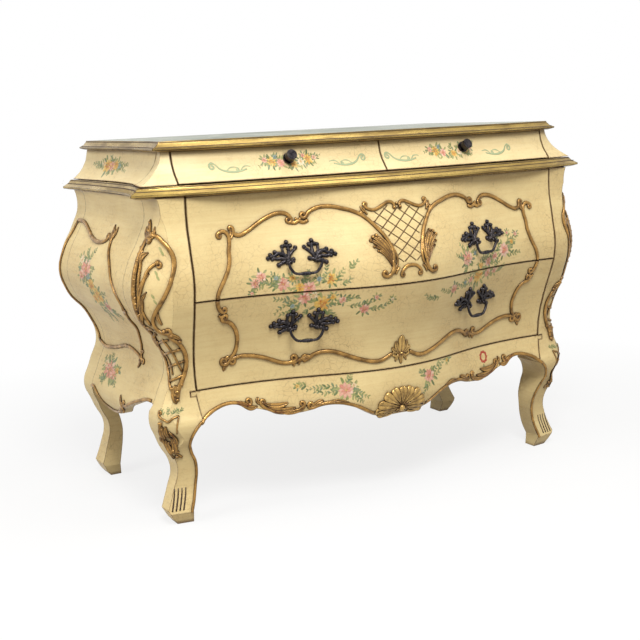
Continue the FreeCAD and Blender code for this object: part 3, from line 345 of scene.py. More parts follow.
g = Group("rubbed_gilding", ("Gold", "Glaze", "Bole"), Hollow=0.008, Rubbed=0.5, Streaks=1.0)
# Darker and less metallic where the surface is enclosed: glaze left in the hollows, and painted
# shade.
hollow_glaze_and_shade = g.steepened(g.shelter(g.takes["Hollow"]), 0.62, 0.98, 1.0, 0.0)
pull = put(g.tree, "CombineXYZ", ("X", g.takes["Streaks"]), ("Y", g.takes["Streaks"]), ("Z", 1.0))
tarnish = g.noise(55.0, 6.0, 0.65, at=g.vector("MULTIPLY", g.spot, pull.outputs[0]).outputs[0])
leaf_grain = g.noise(420.0, 3.0)
edge = g.reckoned("MULTIPLY", g.arrises(0.0025), g.steepened(tarnish, 0.4, 0.7, 0.2, 2.0))
edge = g.steepened(g.reckoned("MULTIPLY", edge, g.takes["Rubbed"]), 0.05, 0.16)
shade = g.blended(g.steepened(tarnish, 0.38, 0.66, 0.0, 0.7), g.takes["Gold"], g.takes["Glaze"])
shade = g.blended(edge, shade, g.takes["Bole"])
shade = g.blended(hollow_glaze_and_shade, shade, g.takes["Glaze"])
g.gives(Color=g.blended(g.steepened(leaf_grain, 0.5, 0.8, 0.0, 0.3), shade, g.takes["Glaze"]),
        Metallic=g.steepened(hollow_glaze_and_shade, 0.0, 1.0, 0.62, 0.1),
        Roughness=g.steepened(tarnish, 0.3, 0.7, 0.18, 0.4),
        Height=g.reckoned("ADD", tarnish, leaf_grain))
moulding_gilt = finish_of("moulding_gilt", g.tree, 0.0006, Gold=as_shown(196, 166, 90),
                          Glaze=as_shown(80, 54, 20), Bole=as_shown(58, 38, 18), Hollow=0.018,
                          Rubbed=5.0, Streaks=0.18)
carved_gilt = finish_of("carved_gilt", g.tree, 0.0004, Gold=as_shown(196, 150, 80),
                        Glaze=as_shown(46, 25, 6), Bole=as_shown(112, 58, 26), Hollow=0.012,
                        Rubbed=0.6)
shell_gilt = finish_of("shell_gilt", g.tree, 0.0004, Gold=as_shown(224, 184, 108),
                       Glaze=as_shown(62, 34, 10), Bole=as_shown(112, 58, 26), Hollow=0.006,
                       Rubbed=0.6)
clothe(("top_moulding", "waist_moulding"), moulding_gilt)
clothe(("side_frame", "lattice_frame", "apron_shell"), carved_gilt)

# ---------------------------------------------------------------- dark handles and knobs
# The knobs and handles are cast and turned bronze that has gone nearly black, browner where
# fingers rub it. Their sharp edges are paler: that wear, and a painted highlight with it.

g = Group("dark_metal", ("Metal", "Worn"))
cast = g.noise(160.0, 5.0)
shade = g.blended(g.steepened(cast, 0.45, 0.75, 0.0, 0.5), g.takes["Metal"], g.takes["Worn"])
# Paler on the sharp edges: rubbed wear, and a painted highlight.
edge = g.steepened(g.arrises(0.0015), 0.03, 0.2, 0.0, 0.8)
g.gives(Color=g.blended(edge, shade, g.takes["Worn"]),
        Roughness=g.steepened(cast, 0.3, 0.7, 0.22, 0.42), Height=cast)
black_bronze = finish_of("black_bronze", g.tree, 0.0003, Metal=as_shown(40, 38, 42),
                         Worn=as_shown(110, 100, 96), Metallic=0.8)
clothe(("knob", "handle_plates", "bail"), black_bronze)

# ---------------------------------------------------------------- gilt frames on the large drawers
# Carved wooden ribs, glued on and gilded: one frame runs over both large drawers and was sawn
# through with them. Its ribs end in curled scrolls and meet in small tied knots.

def curled_in(tip, heading, turn, size, wide, wraps=1.15):
    """Points (across, up, half width) of a scroll that winds in from a rib's tip."""
    towards = heading + turn * 90.0
    heart = (tip[0] + size * math.cos(math.radians(towards)),
             tip[1] + size * math.sin(math.radians(towards)))
    steps = int(8 * wraps)
    points = []
    for step in range(1, steps + 1):
        bearing = math.radians(towards + 180.0 + turn * 45.0 * step)
        reach = size * (1.0 - 0.72 * step / steps)
        points.append((heart[0] + reach * math.cos(bearing), heart[1] + reach * math.sin(bearing),
                       wide * (1.0 - 0.3 * step / steps)))
    points.append((heart[0], heart[1], wide * 1.1))
    return points


def heading_of(start, end):
    return math.degrees(math.atan2(end[1] - start[1], end[0] - start[0]))


def rib(points, wide, start=None, end=None, taper=1.0):
    """A rib through (across, up) points; start and end are (turn, size) of the scrolls there."""
    run = []
    for i, point in enumerate(points):
        share = i / (len(points) - 1)
        swell = 1.0 - (1.0 - taper) * abs(2.0 * share - 1.0)
        run.append((point[0], point[1], wide * swell))
    if start:
        lead = curled_in(points[0], heading_of(points[1], points[0]), start[0], start[1], wide)
        run = lead[::-1] + run
    if end:
        run += curled_in(points[-1], heading_of(points[-2], points[-1]), end[0], end[1], wide)
    return run


def carve_ribs(name, runs, flatness=0.85, lift=1.0, sides=3):
    """Round ribs, modelled flat as (across, -height, up) in millimetres, then made a mesh."""
    bpy.ops.object.select_all(action="DESELECT")
    bpy.ops.curve.primitive_bezier_curve_add()
    curve = bpy.context.object
    curve.name = name
    curve.data.splines.clear()
    curve.data.bevel_depth = 1.0
    curve.data.bevel_resolution = sides - 1
    curve.data.resolution_u = 4
    curve.data.use_fill_caps = True
    for run in runs:
        spline = curve.data.splines.new("BEZIER")
        spline.bezier_points.add(len(run) - 1)
        for knot, (across, up, wide) in zip(spline.bezier_points, run):
            knot.co = (across, 0.0, up)
            knot.radius = wide
            knot.handle_left_type = knot.handle_right_type = "AUTO"
    bpy.ops.object.convert(target="MESH")
    piece = bpy.context.object
    for vertex in piece.data.vertices:
        vertex.co.y = vertex.co.y * flatness - lift
    bpy.ops.object.shade_smooth()
    return piece


def along(points, share):
    """Point and direction on an even curve through (across, up) points, at a share of its run."""
    span = share * (len(points) - 1)
    i = min(int(span), len(points) - 2)
    t = span - i
    before, start, end, after = (points[max(i - 1, 0)], points[i], points[i + 1],
                                 points[min(i + 2, len(points) - 1)])
    spot, way = [], []
    for a, b, c, d in zip(before, start, end, after):
        lean_b, lean_c = 0.5 * (c - a), 0.5 * (d - b)
        spot.append(b * (1 + 2 * t) * (1 - t) ** 2 + c * t * t * (3 - 2 * t)
                    + lean_b * t * (1 - t) ** 2 - lean_c * t * t * (1 - t))
        way.append(6 * t * (1 - t) * (c - b) + lean_b * (1 - 4 * t + 3 * t * t)
                   + lean_c * (3 * t * t - 2 * t))
    length = math.hypot(*way) or 1.0
    return spot, (way[0] / length, way[1] / length)


def carve_leaf(spine, wide, lobes=0, high=5.0, cells=(8, 12), full=0.72):
    """A ribbed leaf along a spine, its edge whole or cut in lobes that lean towards the tip. It
    is widest early for a full under 1 and late for one over 1."""
    bpy.ops.object.select_all(action="DESELECT")
    bpy.ops.mesh.primitive_grid_add(x_subdivisions=cells[0], y_subdivisions=cells[1], size=2.0)
    leaf = bpy.context.object
    for vertex in leaf.data.vertices:
        across, share = vertex.co.x, 0.5 * (vertex.co.y + 1.0)
        middle, way = along(spine, share)
        swell = 0.10 * (1 - share) + math.sin(math.pi * min(share, 0.999) ** full) ** 0.75
        notch = abs(math.sin(math.pi * lobes * share)) if lobes else 1.0
        reach = wide * swell * (1.0 - 0.3 * (1.0 - notch) * abs(across) ** 1.5)
        lean = 0.35 * reach * abs(across) ** 1.4 * notch
        crown = math.sqrt(max(0.0, 1.0 - 0.86 * across * across))
        veins = 0.80 + 0.20 * math.cos(2 * math.pi * (lobes * share - 0.5 + 0.45 * abs(across)))
        groove = 1.0 - 0.34 * math.exp(-(across / 0.13) ** 2)
        height = high * crown * veins * groove * (0.45 + 0.55 * swell)
        vertex.co = (middle[0] + way[1] * reach * across + way[0] * lean, -height,
                     middle[1] - way[0] * reach * across + way[1] * lean)
    thicken = leaf.modifiers.new("back", "SOLIDIFY")
    thicken.thickness, thicken.offset = 2.4, -1.0
    bpy.ops.object.modifier_apply(modifier=thicken.name)
    bpy.ops.object.shade_smooth()
    return leaf


def carve_bead(across, up, wide, high):
    """A small domed bead."""
    bpy.ops.object.select_all(action="DESELECT")
    bpy.ops.mesh.primitive_uv_sphere_add(segments=12, ring_count=8, radius=1.0)
    bead = bpy.context.object
    for vertex in bead.data.vertices:
        vertex.co = (across + wide * vertex.co.x, high * vertex.co.y, up + wide * vertex.co.z)
    bpy.ops.object.shade_smooth()
    return bead


def taken_up(*pieces):
    """Select these pieces alone, the first as the active one."""
    bpy.ops.object.select_all(action="DESELECT")
    for piece in pieces:
        piece.select_set(True)
    bpy.context.view_layer.objects.active = pieces[0]


def joined(name, pieces):
    taken_up(*pieces)
    if len(pieces) > 1:
        bpy.ops.object.join()
    whole = bpy.context.object
    whole.name = whole.data.name = name
    return whole


def copied(piece, name):
    double = piece.copy()
    double.data = piece.data.copy()
    double.name = double.data.name = name
    bpy.context.scene.collection.objects.link(double)
    return double


def skin_of(*names):
    """The outside of CAD nodes as one surface that carving is laid on."""
    corners, faces = [], []
    for name in names:
        mesh = nodes[name].data
        first = len(corners)
        corners += [tuple(vertex.co) for vertex in mesh.vertices]
        faces += [tuple(first + i for i in face.vertices) for face in mesh.polygons]
    return BVHTree.FromPolygons(corners, faces)


class Face:
    """A side of the chest that flat work is laid on: where it starts, which way is across it,
    and which way is into it. Lengths across and up are given in millimetres."""

    def __init__(self, start, across, into, *names):
        self.start, self.across, self.into = Vector(start), Vector(across), Vector(into)
        self.depth = 0.0
        self.skin = skin_of(*names)

    def spot(self, across, up):
        """The point of the skin behind a place, or None."""
        place = self.start + self.across * (across * 0.001) + Vector((0, 0, up * 0.001))
        return self.skin.ray_cast(place - self.into * 2.0, self.into)

    def outwards(self, across, up, reach=9.0):
        """The way out of the skin, evened over a small patch."""
        ends = [self.spot(across + a, up + b)[0] for a, b in
                ((reach, 0), (-reach, 0), (0, reach), (0, -reach))]
        if None in ends:
            return None
        level, rise = ends[0] - ends[1], ends[2] - ends[3]
        way = level.cross(rise).normalized()
        if way.length < 0.5 or abs(way.dot(self.into)) < 0.25:
            return None
        return -way if way.dot(self.into) > 0 else way

    def place(self, flat):
        """Where a flat point comes to lie, at its own height out of the skin. Past the edge of
        the boards it keeps the depth of the last point that met them."""
        hit = self.spot(flat.x, flat.z)[0]
        if hit is None:
            spot = self.start + self.across * (flat.x * 0.001) + Vector((0, 0, flat.z * 0.001))
            near = self.skin.find_nearest(spot + self.into * self.depth)[0]
            hit = spot + self.into * (near - spot).dot(self.into)
        else:
            self.depth = (hit - self.start).dot(self.into)
        return hit + (self.outwards(flat.x, flat.z) or -self.into) * (-flat.y * 0.001)

    def lay(self, piece):
        """Bend flat work onto the skin."""
        for vertex in piece.data.vertices:
            vertex.co = self.place(vertex.co)
        outwards_again(piece)
        return piece


def outwards_again(piece):
    """Merge a piece's doubles and turn its faces outwards."""
    taken_up(piece)
    bpy.ops.object.mode_set(mode="EDIT")
    bpy.ops.mesh.select_all(action="SELECT")
    bpy.ops.mesh.remove_doubles(threshold=0.00002)
    bpy.ops.mesh.normals_make_consistent(inside=False)
    bpy.ops.object.mode_set(mode="OBJECT")


def laid_both_ways(piece, name, face_left, face_right, body_left, body_right, finish):
    """Lay one flat piece on the left and its mirror copy on the right."""
    double = copied(piece, name + "_right")
    piece.name = piece.data.name = name + "_left"
    for half, face, body in ((piece, face_left, body_left), (double, face_right, body_right)):
        face.lay(half)
        half.data.materials.clear()
        half.data.materials.append(finish)
        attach(half, body)


def cut_off(piece, level, keep_above):
    """Saw flat work through at a height and close the cut."""
    taken_up(piece)
    bpy.ops.object.mode_set(mode="EDIT")
    bpy.ops.mesh.select_all(action="SELECT")
    bpy.ops.mesh.bisect(plane_co=(0, 0, level), plane_no=(0, 0, 1), use_fill=True,
                        clear_inner=keep_above, clear_outer=not keep_above)
    bpy.ops.object.mode_set(mode="OBJECT")


rib_wide = 4.7
split_top, split_base = 517.9, 514.1   # just clear of the two edges at the split
frame_ribs = [
    # top line from the corner to the knot
    rib([(-393, 667), (-391, 656), (-382, 651), (-362, 657), (-334, 673), (-308, 686), (-285, 692),
         (-266, 689), (-257, 680)], rib_wide, start=(1, 4.5), end=(-1, 7)),
    # arch from the knot to the foot of the lattice
    rib([(-222, 680), (-216, 688), (-204, 695), (-175, 700), (-131, 691), (-104, 681), (-87, 669),
         (-66, 645), (-50, 620), (-42, 590), (-44, 566)], rib_wide, start=(-1, 7)),
    # side of the frame, from the outer curl at the corner to the knots below the split
    rib([(-427, 658), (-416, 662), (-406, 655), (-404, 638), (-408, 618), (-409, 600), (-415, 580),
         (-424, 562), (-437, 538), (-442, 516), (-438, 498), (-430, 488)], rib_wide,
        start=(1, 5), end=(1, 6)),
    # lower curve, from its curl to the bottom corner
    rib([(-424, 466), (-412, 462), (-398, 450), (-388, 428), (-386, 405), (-391, 385), (-400, 372)],
        rib_wide, start=(-1, 8), end=(1, 8)),
    # bottom line to the rope knot, then on to the palmette
    rib([(-409, 362), (-398, 371), (-380, 376), (-355, 375), (-326, 368), (-300, 358), (-280, 350),
         (-262, 348), (-250, 352)], rib_wide, start=(-1, 9), end=(1, 7)),
    rib([(-222, 352), (-212, 360), (-196, 367), (-175, 368), (-150, 361), (-120, 348), (-95, 339),
         (-70, 333), (-50, 334), (-34, 341), (-24, 346)], rib_wide, start=(-1, 7)),
]
knots = [
    rib([(-262, 672), (-250, 668), (-240, 672), (-230, 668), (-218, 672)], 4.8, taper=0.8),
    rib([(-247, 678), (-240, 674), (-233, 678)], 3.4),
    rib([(-437, 480), (-429, 476), (-421, 480)], 4.4, taper=0.8),
    rib([(-256, 345), (-244, 350), (-236, 354), (-226, 357), (-214, 359)], 4.8, taper=0.8),
    rib([(-252, 339), (-247, 349), (-243, 358)], 3.0),
    rib([(-241, 342), (-236, 352), (-232, 361)], 3.0),
    rib([(-229, 346), (-224, 355), (-220, 364)], 3.0),
]
frame_leaves = [
    carve_leaf([(-404, 644), (-397, 654), (-398, 668)], 5, high=6.0),
    carve_leaf([(-402, 380), (-412, 372), (-424, 369)], 6, lobes=2, high=4.5, cells=(8, 10)),
    carve_leaf([(-402, 366), (-412, 357), (-416, 345)], 6, lobes=2, high=4.5, cells=(8, 10)),
]
large_fronts = ("upper_drawer_front", "lower_drawer_front")
front_left = Face((0, 0, 0), (1, 0, 0), (0, 1, 0), *large_fronts)
front_right = Face((0, 0, 0), (-1, 0, 0), (0, 1, 0), *large_fronts)
frame_half = joined("drawer_frame", [carve_ribs("frame_ribs", frame_ribs + knots)] + frame_leaves)
frame_low = copied(frame_half, "lower_frame")
cut_off(frame_half, split_top, True)
cut_off(frame_low, split_base, False)
laid_both_ways(frame_half, "upper_frame", front_left, front_right, "upper_drawer", "upper_drawer",
               carved_gilt)
laid_both_ways(frame_low, "lower_frame", front_left, front_right, "lower_drawer", "lower_drawer",
               carved_gilt)

# ---------------------------------------------------------------- middle panel and palmette
# A trellis of thin gilt lines on the crest of the upper drawer, in a carved frame of scrolls with
# a leaf on each side, and a small palmette on the lower drawer under it.

panel_half = [(0, 697), (-22, 693), (-44, 686), (-64, 681), (-76, 668), (-58, 645), (-46, 625),
              (-36, 600), (-32, 575), (-30, 562), (-14, 566), (0, 570)]
panel_edge = panel_half + [(-a, b) for a, b in panel_half[-2:0:-1]]


def inside(outline, across, up):
    """Whether a point lies inside a closed outline."""
    found = False
    for (a, b), (c, d) in zip(outline, outline[1:] + outline[:1]):
        if (b > up) != (d > up) and across < a + (c - a) * (up - b) / (d - b):
            found = not found
    return found


trellis_paint = finish_of("trellis_paint", aged_paint, 0.0003, Paint=as_shown(112, 86, 28),
                          Glaze=as_shown(140, 104, 44), Wood=as_shown(60, 40, 16), Patchy=0.5,
                          Rubbed=0.3)
trellis = []
trellis_gap, trellis_slope, trellis_middle, trellis_half_line = 26.5, 0.79, 631.5, 1.35
for slope in (trellis_slope, -trellis_slope):
    for row in range(-5, 6):
        level = trellis_middle + row * trellis_gap
        run = [(across, level + slope * across, trellis_half_line) for across in range(-90, 91, 3)
               if inside(panel_edge, across, level + slope * across)]
        if len(run) > 2:
            trellis.append([run[0], run[len(run) // 2], run[-1]])
panel_lines = carve_ribs("trellis", trellis, flatness=0.6, lift=0.0, sides=2)
panel_ribs = []
panel_leaves = []
panel_beads = [carve_bead(-8, 686, 4.6, 6.0), carve_bead(8, 686, 4.6, 6.0),
               carve_bead(0, 694, 3.6, 5.0)]
for side in (-1, 1):
    def at(*points):
        return [(side * a, b) for a, b in points]
    panel_ribs += [
        rib(at((6, 688), (9, 695), (19, 699), (34, 694), (50, 687), (65, 684), (77, 688),
               (83, 694)), 3.9, end=(side, 4.5)),
        rib(at((96, 684), (84, 668), (72, 655), (58, 638), (46, 616), (38, 594), (34, 575),
               (36, 562), (42, 554)), 3.2),
        rib(at((0, 558), (12, 556), (21, 550), (27, 541)), 3.8, end=(-side, 4.5)),
        rib(at((32, 555), (38, 549), (42, 541)), 2.8),
        rib(at((37, 558), (43, 551), (47, 543)), 2.8),
        rib(at((80, 675), (84, 682), (86, 690)), 2.6),
        rib(at((86, 680), (90, 686), (92, 694)), 2.6),
        rib(at((46, 572), (45, 558), (50, 546), (60, 538), (68, 539)), 4.6, end=(side, 5.5)),
    ]
    for spine, wide in (((43, 556), (46, 586), (56, 610), (72, 629)), 5.4), \
                       (((45, 556), (51, 586), (64, 609), (81, 626)), 5.6), \
                       (((46, 556), (55, 584), (69, 604), (88, 619)), 5.2), \
                       (((48, 560), (57, 582), (68, 597), (83, 605)), 3.6), \
                       (((48, 558), (56, 574), (65, 588), (76, 595)), 3.2):
        panel_leaves.append(carve_leaf(at(*spine), wide, high=7.5, full=1.5, cells=(8, 18)))
        panel_beads.append(carve_bead(side * spine[-1][0], spine[-1][1] - 1, 0.85 * wide, 6.0))
panel = joined("middle_panel", [carve_ribs("panel_ribs", panel_ribs)] + panel_leaves + panel_beads)
for piece, finish in ((panel, carved_gilt), (panel_lines, trellis_paint)):
    front_left.lay(piece)
    piece.data.materials.append(finish)
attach(panel_lines, "upper_drawer")
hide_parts("lattice_frame")
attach(panel, "upper_drawer")

palmette_parts = [
    carve_leaf([(0, 340), (0, 364), (0, 388)], 9.5, high=8.0, full=1.1, cells=(10, 16)),
    carve_leaf([(0, 354), (0, 336), (0, 319)], 6.5, high=6.0),
    carve_bead(0, 345, 4.5, 8.5),
]
for side in (-1, 1):
    palmette_parts += [
        carve_leaf([(side * 3, 344), (side * 12, 358), (side * 15, 375)], 5.5, high=7.0,
                   full=1.1),
        carve_leaf([(side * 4, 345), (side * 16, 351), (side * 25, 361)], 5.0, high=6.0,
                   full=1.1),
        carve_leaf([(side * 2, 344), (side * 11, 336), (side * 15, 326)], 4.0, high=5.0),
    ]
palmette_parts.append(carve_ribs("palmette_curls", [
    rib([(side * 4, 341), (side * 12, 338), (side * 20, 341)], 3.2, end=(side, 4))
    for side in (-1, 1)]))
palmette = joined("palmette", palmette_parts)
front_left.lay(palmette)
palmette.data.materials.append(shell_gilt)
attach(palmette, "lower_drawer")
# ---------------------------------------------------------------- shell and gilt edge of the apron
# A carved scallop shell at the middle of the apron, and a gilt rib that follows its scalloped
# edge between curled leaves, then runs down the inner edge of each front leg to the foot.

shell_parts = []
hinge_up, beard_up = 216.0, 212   # where the lobes above and the small leaves below spring from
for lobe in range(9):
    way = math.radians(-14.0 + 208.0 * lobe / 8)
    reach = 54.0 + 12.0 * abs(math.cos(way)) ** 2
    tip = (reach * math.cos(way), (reach - 6.0) * math.sin(way))
    shell_parts.append(carve_leaf([(share * tip[0], hinge_up + share * tip[1])
                                   for share in (0.12, 0.5, 1.0)],
                                  11.2, high=9.0, full=2.3, cells=(10, 16)))
for bearing in (-150, -120, -90, -60, -30):
    way = math.radians(bearing)
    shell_parts.append(carve_leaf([(a * math.cos(way), beard_up + b * math.sin(way))
                                   for a, b in ((0, 0), (9, 8), (18, 15))],
                                  5, high=7.5, full=1.2, cells=(8, 10)))
shell_parts.append(carve_bead(0, 213, 8, 10.5))
shell_parts.append(carve_ribs("shell_curls", [
    rib([(side * 20, 200), (side * 36, 196), (side * 54, 198), (side * 64, 206)], 3.8,
        end=(side, 7)) for side in (-1, 1)]))
shell = joined("shell", shell_parts)
apron_left = Face((0, 0, 0), (1, 0, 0), (0, 1, 0), "front_apron", "front_post_left")
apron_right = Face((0, 0, 0), (-1, 0, 0), (0, 1, 0), "front_apron", "front_post_right")
apron_left.lay(shell)
shell.data.materials.append(shell_gilt)
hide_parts("apron_shell")
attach(shell, "carcase")

apron_edge = carve_ribs("edge_ribs", [
    rib([(-484, 238), (-466, 254), (-440, 266), (-410, 272), (-386, 269), (-366, 262)], 4.2,
        end=(1, 8)),
    rib([(-334, 258), (-320, 247), (-298, 238), (-272, 234), (-252, 237), (-238, 245)], 3.8,
        start=(-1, 7), end=(1, 6)),
    rib([(-218, 238), (-200, 245), (-170, 247), (-135, 239), (-106, 227), (-84, 214), (-72, 208)],
        4.0, start=(-1, 8)),
])
edge_leaves = []
for spine, wide in (([(-400, 272), (-380, 267), (-360, 255), (-344, 257)], 6.5),
                    ([(-330, 262), (-312, 254), (-290, 252), (-272, 256)], 6.0),
                    ([(-326, 252), (-304, 243), (-280, 240), (-256, 244)], 6.5),
                    ([(-300, 240), (-276, 233), (-250, 236), (-232, 247)], 5.5),
                    ([(-222, 240), (-206, 250), (-192, 254)], 4.5),
                    ([(-330, 258), (-342, 266), (-340, 276)], 4.0),
                    ([(-190, 247), (-160, 250), (-136, 243)], 3.6)):
    edge_leaves.append(carve_leaf(spine, wide, high=6.5, full=1.1, cells=(8, 14)))
apron_half = joined("apron_edge", [apron_edge] + edge_leaves)
laid_both_ways(apron_half, "apron_edge", apron_left, apron_right, "carcase", "carcase",
               carved_gilt)

leg_edge = carve_ribs("leg_edge", [
    [(-a, b, 3.3) for a, b in ((482, 243), (495, 228), (503, 212), (506, 197), (499, 170),
                               (488, 145), (484, 118), (487, 88), (494, 55), (502, 32),
                               (503, 26))]])
laid_both_ways(leg_edge, "leg_edge", apron_left, apron_right, "carcase", "carcase", carved_gilt)

# ---------------------------------------------------------------- frames on the sides
# Each side has a closed gilt cartouche of the same ribs, from the back post to near the front
# post, and a gilt rib along the scallop below it.

side_ribs = [
    rib([(506, 666), (470, 666), (430, 658), (395, 646), (360, 635), (320, 629), (284, 630),
         (256, 637)], 4.6, end=(-1, 7)),
    rib([(222, 652), (226, 636), (214, 618), (194, 600), (168, 576), (142, 546), (122, 514),
         (116, 496)], 4.4, start=(-1, 6), end=(1, 5)),
    rib([(120, 480), (138, 458), (168, 424), (192, 394), (208, 370), (204, 352)], 4.2,
        start=(-1, 5), end=(-1, 6)),
    rib([(216, 358), (240, 366), (280, 373), (320, 371), (370, 360), (420, 352), (468, 349),
         (506, 358)], 4.4, start=(1, 6)),
    rib([(508, 360), (523, 400), (532, 450), (535, 500), (532, 560), (522, 620), (506, 664)], 4.4),
]
side_knots = [rib([(108, 492), (116, 488), (124, 484)], 4.0),
              rib([(236, 640), (243, 645), (250, 640)], 3.6)]
side_leaves = [
    carve_leaf([(234, 634), (232, 652), (238, 672)], 6, high=6.0),
    carve_leaf([(228, 640), (216, 654), (214, 668)], 5, high=5.0),
    carve_leaf([(212, 364), (200, 376), (190, 378)], 4.5, high=5.0),
    carve_leaf([(212, 356), (218, 342), (226, 334)], 4.5, high=5.0),
]
side_frame = joined("side_frame", [carve_ribs("side_ribs", side_ribs + side_knots)] + side_leaves)
back_shift = -0.20341   # from the middle of the chest to where the sides are measured from
side_left = Face((0, back_shift, 0), (0, 1, 0), (1, 0, 0), "side_panel_left", "back_post_left",
                 "front_post_left")
side_right = Face((0, back_shift, 0), (0, 1, 0), (-1, 0, 0), "side_panel_right", "back_post_right",
                  "front_post_right")
laid_both_ways(side_frame, "side_cartouche", side_left, side_right, "carcase", "carcase",
               carved_gilt)
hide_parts("side_frame_left")
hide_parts("side_frame_right")

side_edge = joined("side_edge", [carve_ribs("side_edge_ribs", [
    rib([(88, 283), (119, 281), (160, 270), (205, 255), (240, 242)], 4.0, end=(1, 7)),
    rib([(262, 236), (284, 221), (325, 210), (372, 209), (412, 217), (440, 238), (462, 250),
         (478, 249)], 4.0, start=(1, 8)),
]), carve_leaf([(250, 236), (262, 250), (268, 264)], 5, high=6.0)])
laid_both_ways(side_edge, "side_edge", side_left, side_right, "carcase", "carcase", carved_gilt)

# ---------------------------------------------------------------- cartouches on the posts
# The bulge of each front post carries a long rocaille cartouche, worked over the corner, with an
# open trellis in its tail, and the knee under it has a drop of carved leaves.

post_ribs = [
    rib([(-4, 662), (10, 664), (26, 652), (42, 634), (51, 608), (49, 580), (38, 550), (20, 522),
         (2, 498), (-7, 478), (-3, 462), (8, 453), (22, 450)], 4.6, start=(1, 6), end=(1, 6)),
    rib([(-12, 656), (-24, 636), (-33, 605), (-40, 562), (-42, 516), (-40, 484), (-34, 458),
         (-24, 436)], 5.2, start=(-1, 6)),
    rib([(-22, 640), (-25, 600), (-30, 560), (-30, 520), (-24, 490), (-14, 470)], 3.4),
    rib([(-26, 545), (-16, 572), (-6, 592), (6, 602), (15, 606)], 4.0, end=(-1, 6)),
    rib([(24, 444), (38, 426), (45, 398), (42, 370), (34, 344), (24, 318), (22, 300)], 4.4,
        start=(-1, 5)),
    rib([(-26, 440), (-22, 412), (-10, 382), (-2, 352), (10, 322), (20, 304)], 3.8),
    rib([(-20, 420), (0, 430), (20, 436)], 2.6), rib([(-14, 392), (12, 404), (40, 412)], 2.6),
    rib([(-6, 362), (16, 374), (42, 384)], 2.6), rib([(4, 336), (20, 344), (38, 352)], 2.6),
    rib([(-16, 404), (4, 384), (14, 352)], 2.4), rib([(6, 438), (22, 404), (34, 360)], 2.4),
]
post_leaves = [
    carve_leaf([(-6, 654), (-10, 674), (-12, 696)], 7, high=7.0, cells=(8, 14)),
    carve_leaf([(0, 656), (8, 668), (8, 682)], 4.5, high=5.0),
    carve_leaf([(-14, 656), (-22, 666), (-24, 680)], 4.5, high=5.0),
    carve_leaf([(-34, 470), (-30, 500), (-24, 528), (-12, 545)], 6, lobes=3, high=6.0,
               cells=(8, 18)),
    carve_leaf([(-36, 500), (-30, 536), (-20, 566), (-4, 584)], 6, lobes=3, high=6.0,
               cells=(8, 18)),
    carve_leaf([(-30, 600), (-20, 620), (-6, 628)], 5, high=5.5),
    carve_leaf([(-36, 450), (-28, 462), (-10, 458)], 6, high=6.0),
    carve_leaf([(-28, 446), (-34, 428), (-30, 408)], 5, high=6.0),
    carve_leaf([(20, 446), (34, 444), (44, 432)], 5, high=5.5),
    carve_leaf([(20, 330), (16, 308), (20, 288)], 6, high=6.0),
    carve_leaf([(12, 470), (6, 486), (8, 500)], 4.0, high=5.0),
]
post_beads = [carve_bead(-27 - 13 * math.sin(math.pi * i / 15), 636 - 13 * i, 4.2, 7.0)
              for i in range(15)]
post_beads += [carve_bead(a, b, r, 1.4 * r) for a, b, r in (
    (15, 606, 6.5), (-6, 656, 5), (-10, 672, 5.5), (-12, 688, 4.5), (2, 668, 4), (-20, 668, 4),
    (-24, 440, 5.5), (-12, 448, 5), (14, 456, 5), (28, 446, 5), (40, 430, 4.5), (-20, 424, 4.5),
    (22, 314, 5.5), (12, 322, 4.5), (22, 296, 4.5), (30, 330, 4.5))]
post_work = joined("post_work", [carve_ribs("post_ribs", post_ribs, lift=1.5)] + post_leaves
                   + post_beads)
knee_parts = [carve_ribs("knee_ribs", [
    rib([(-18, 266), (-12, 258), (-4, 254), (4, 250), (14, 257), (26, 262)], 2.4, start=(-1, 5)),
    rib([(26, 262), (25, 244), (21, 222)], 1.6),
    rib([(-12, 250), (-18, 228), (-18, 204), (-10, 182), (2, 160)], 3.6),
    rib([(2, 226), (12, 214), (4, 202), (-4, 192)], 3.2),
    rib([(-12, 222), (0, 212), (6, 200)], 2.8), rib([(6, 176), (12, 166), (16, 160)], 3.0),
])]
for spine, wide in (([(-10, 240), (-14, 224), (-12, 206)], 6),
                    ([(-2, 240), (-4, 226), (0, 212)], 5.5),
                    ([(4, 212), (8, 192), (6, 172)], 6.5),
                    ([(-12, 206), (-6, 188), (2, 172)], 6),
                    ([(10, 222), (14, 206), (12, 190)], 4.5),
                    ([(-16, 216), (-22, 208), (-20, 196)], 4)):
    knee_parts.append(carve_leaf(spine, wide, high=8.0, full=1.1, cells=(8, 14)))
knee_parts += [carve_bead(a, b, r, 1.5 * r) for a, b, r in (
    (-12, 232, 4), (-2, 220, 3.6), (8, 200, 4), (-4, 198, 3.6), (4, 180, 4.2), (12, 176, 3.4),
    (8, 163, 4), (-16, 246, 3.4))]
knee_work = joined("knee_work", knee_parts)
corner_left = Face((-0.514, -0.1474, 0), (0.70711, -0.70711, 0), (0.70711, 0.70711, 0),
                   "front_post_left", "side_panel_left")
corner_right = Face((0.514, -0.1474, 0), (-0.70711, -0.70711, 0), (-0.70711, 0.70711, 0),
                    "front_post_right", "side_panel_right")
for piece in (post_work, knee_work):
    laid_both_ways(piece, piece.name, corner_left, corner_right, "carcase", "carcase", carved_gilt)

# ---------------------------------------------------------------- flutes on the feet
# Each front foot has four short grooves, shown by thin dark brown strips laid on the foot:
# painted shade where the grooves would lie.

flutes = carve_ribs("flutes", [
    [(across, 84, 1.0), (across - 0.6, 60, 1.5), (across - 2.0, 34, 1.5)]
    for across in (-7, 0, 7, 14)], flatness=0.25, lift=0.1)
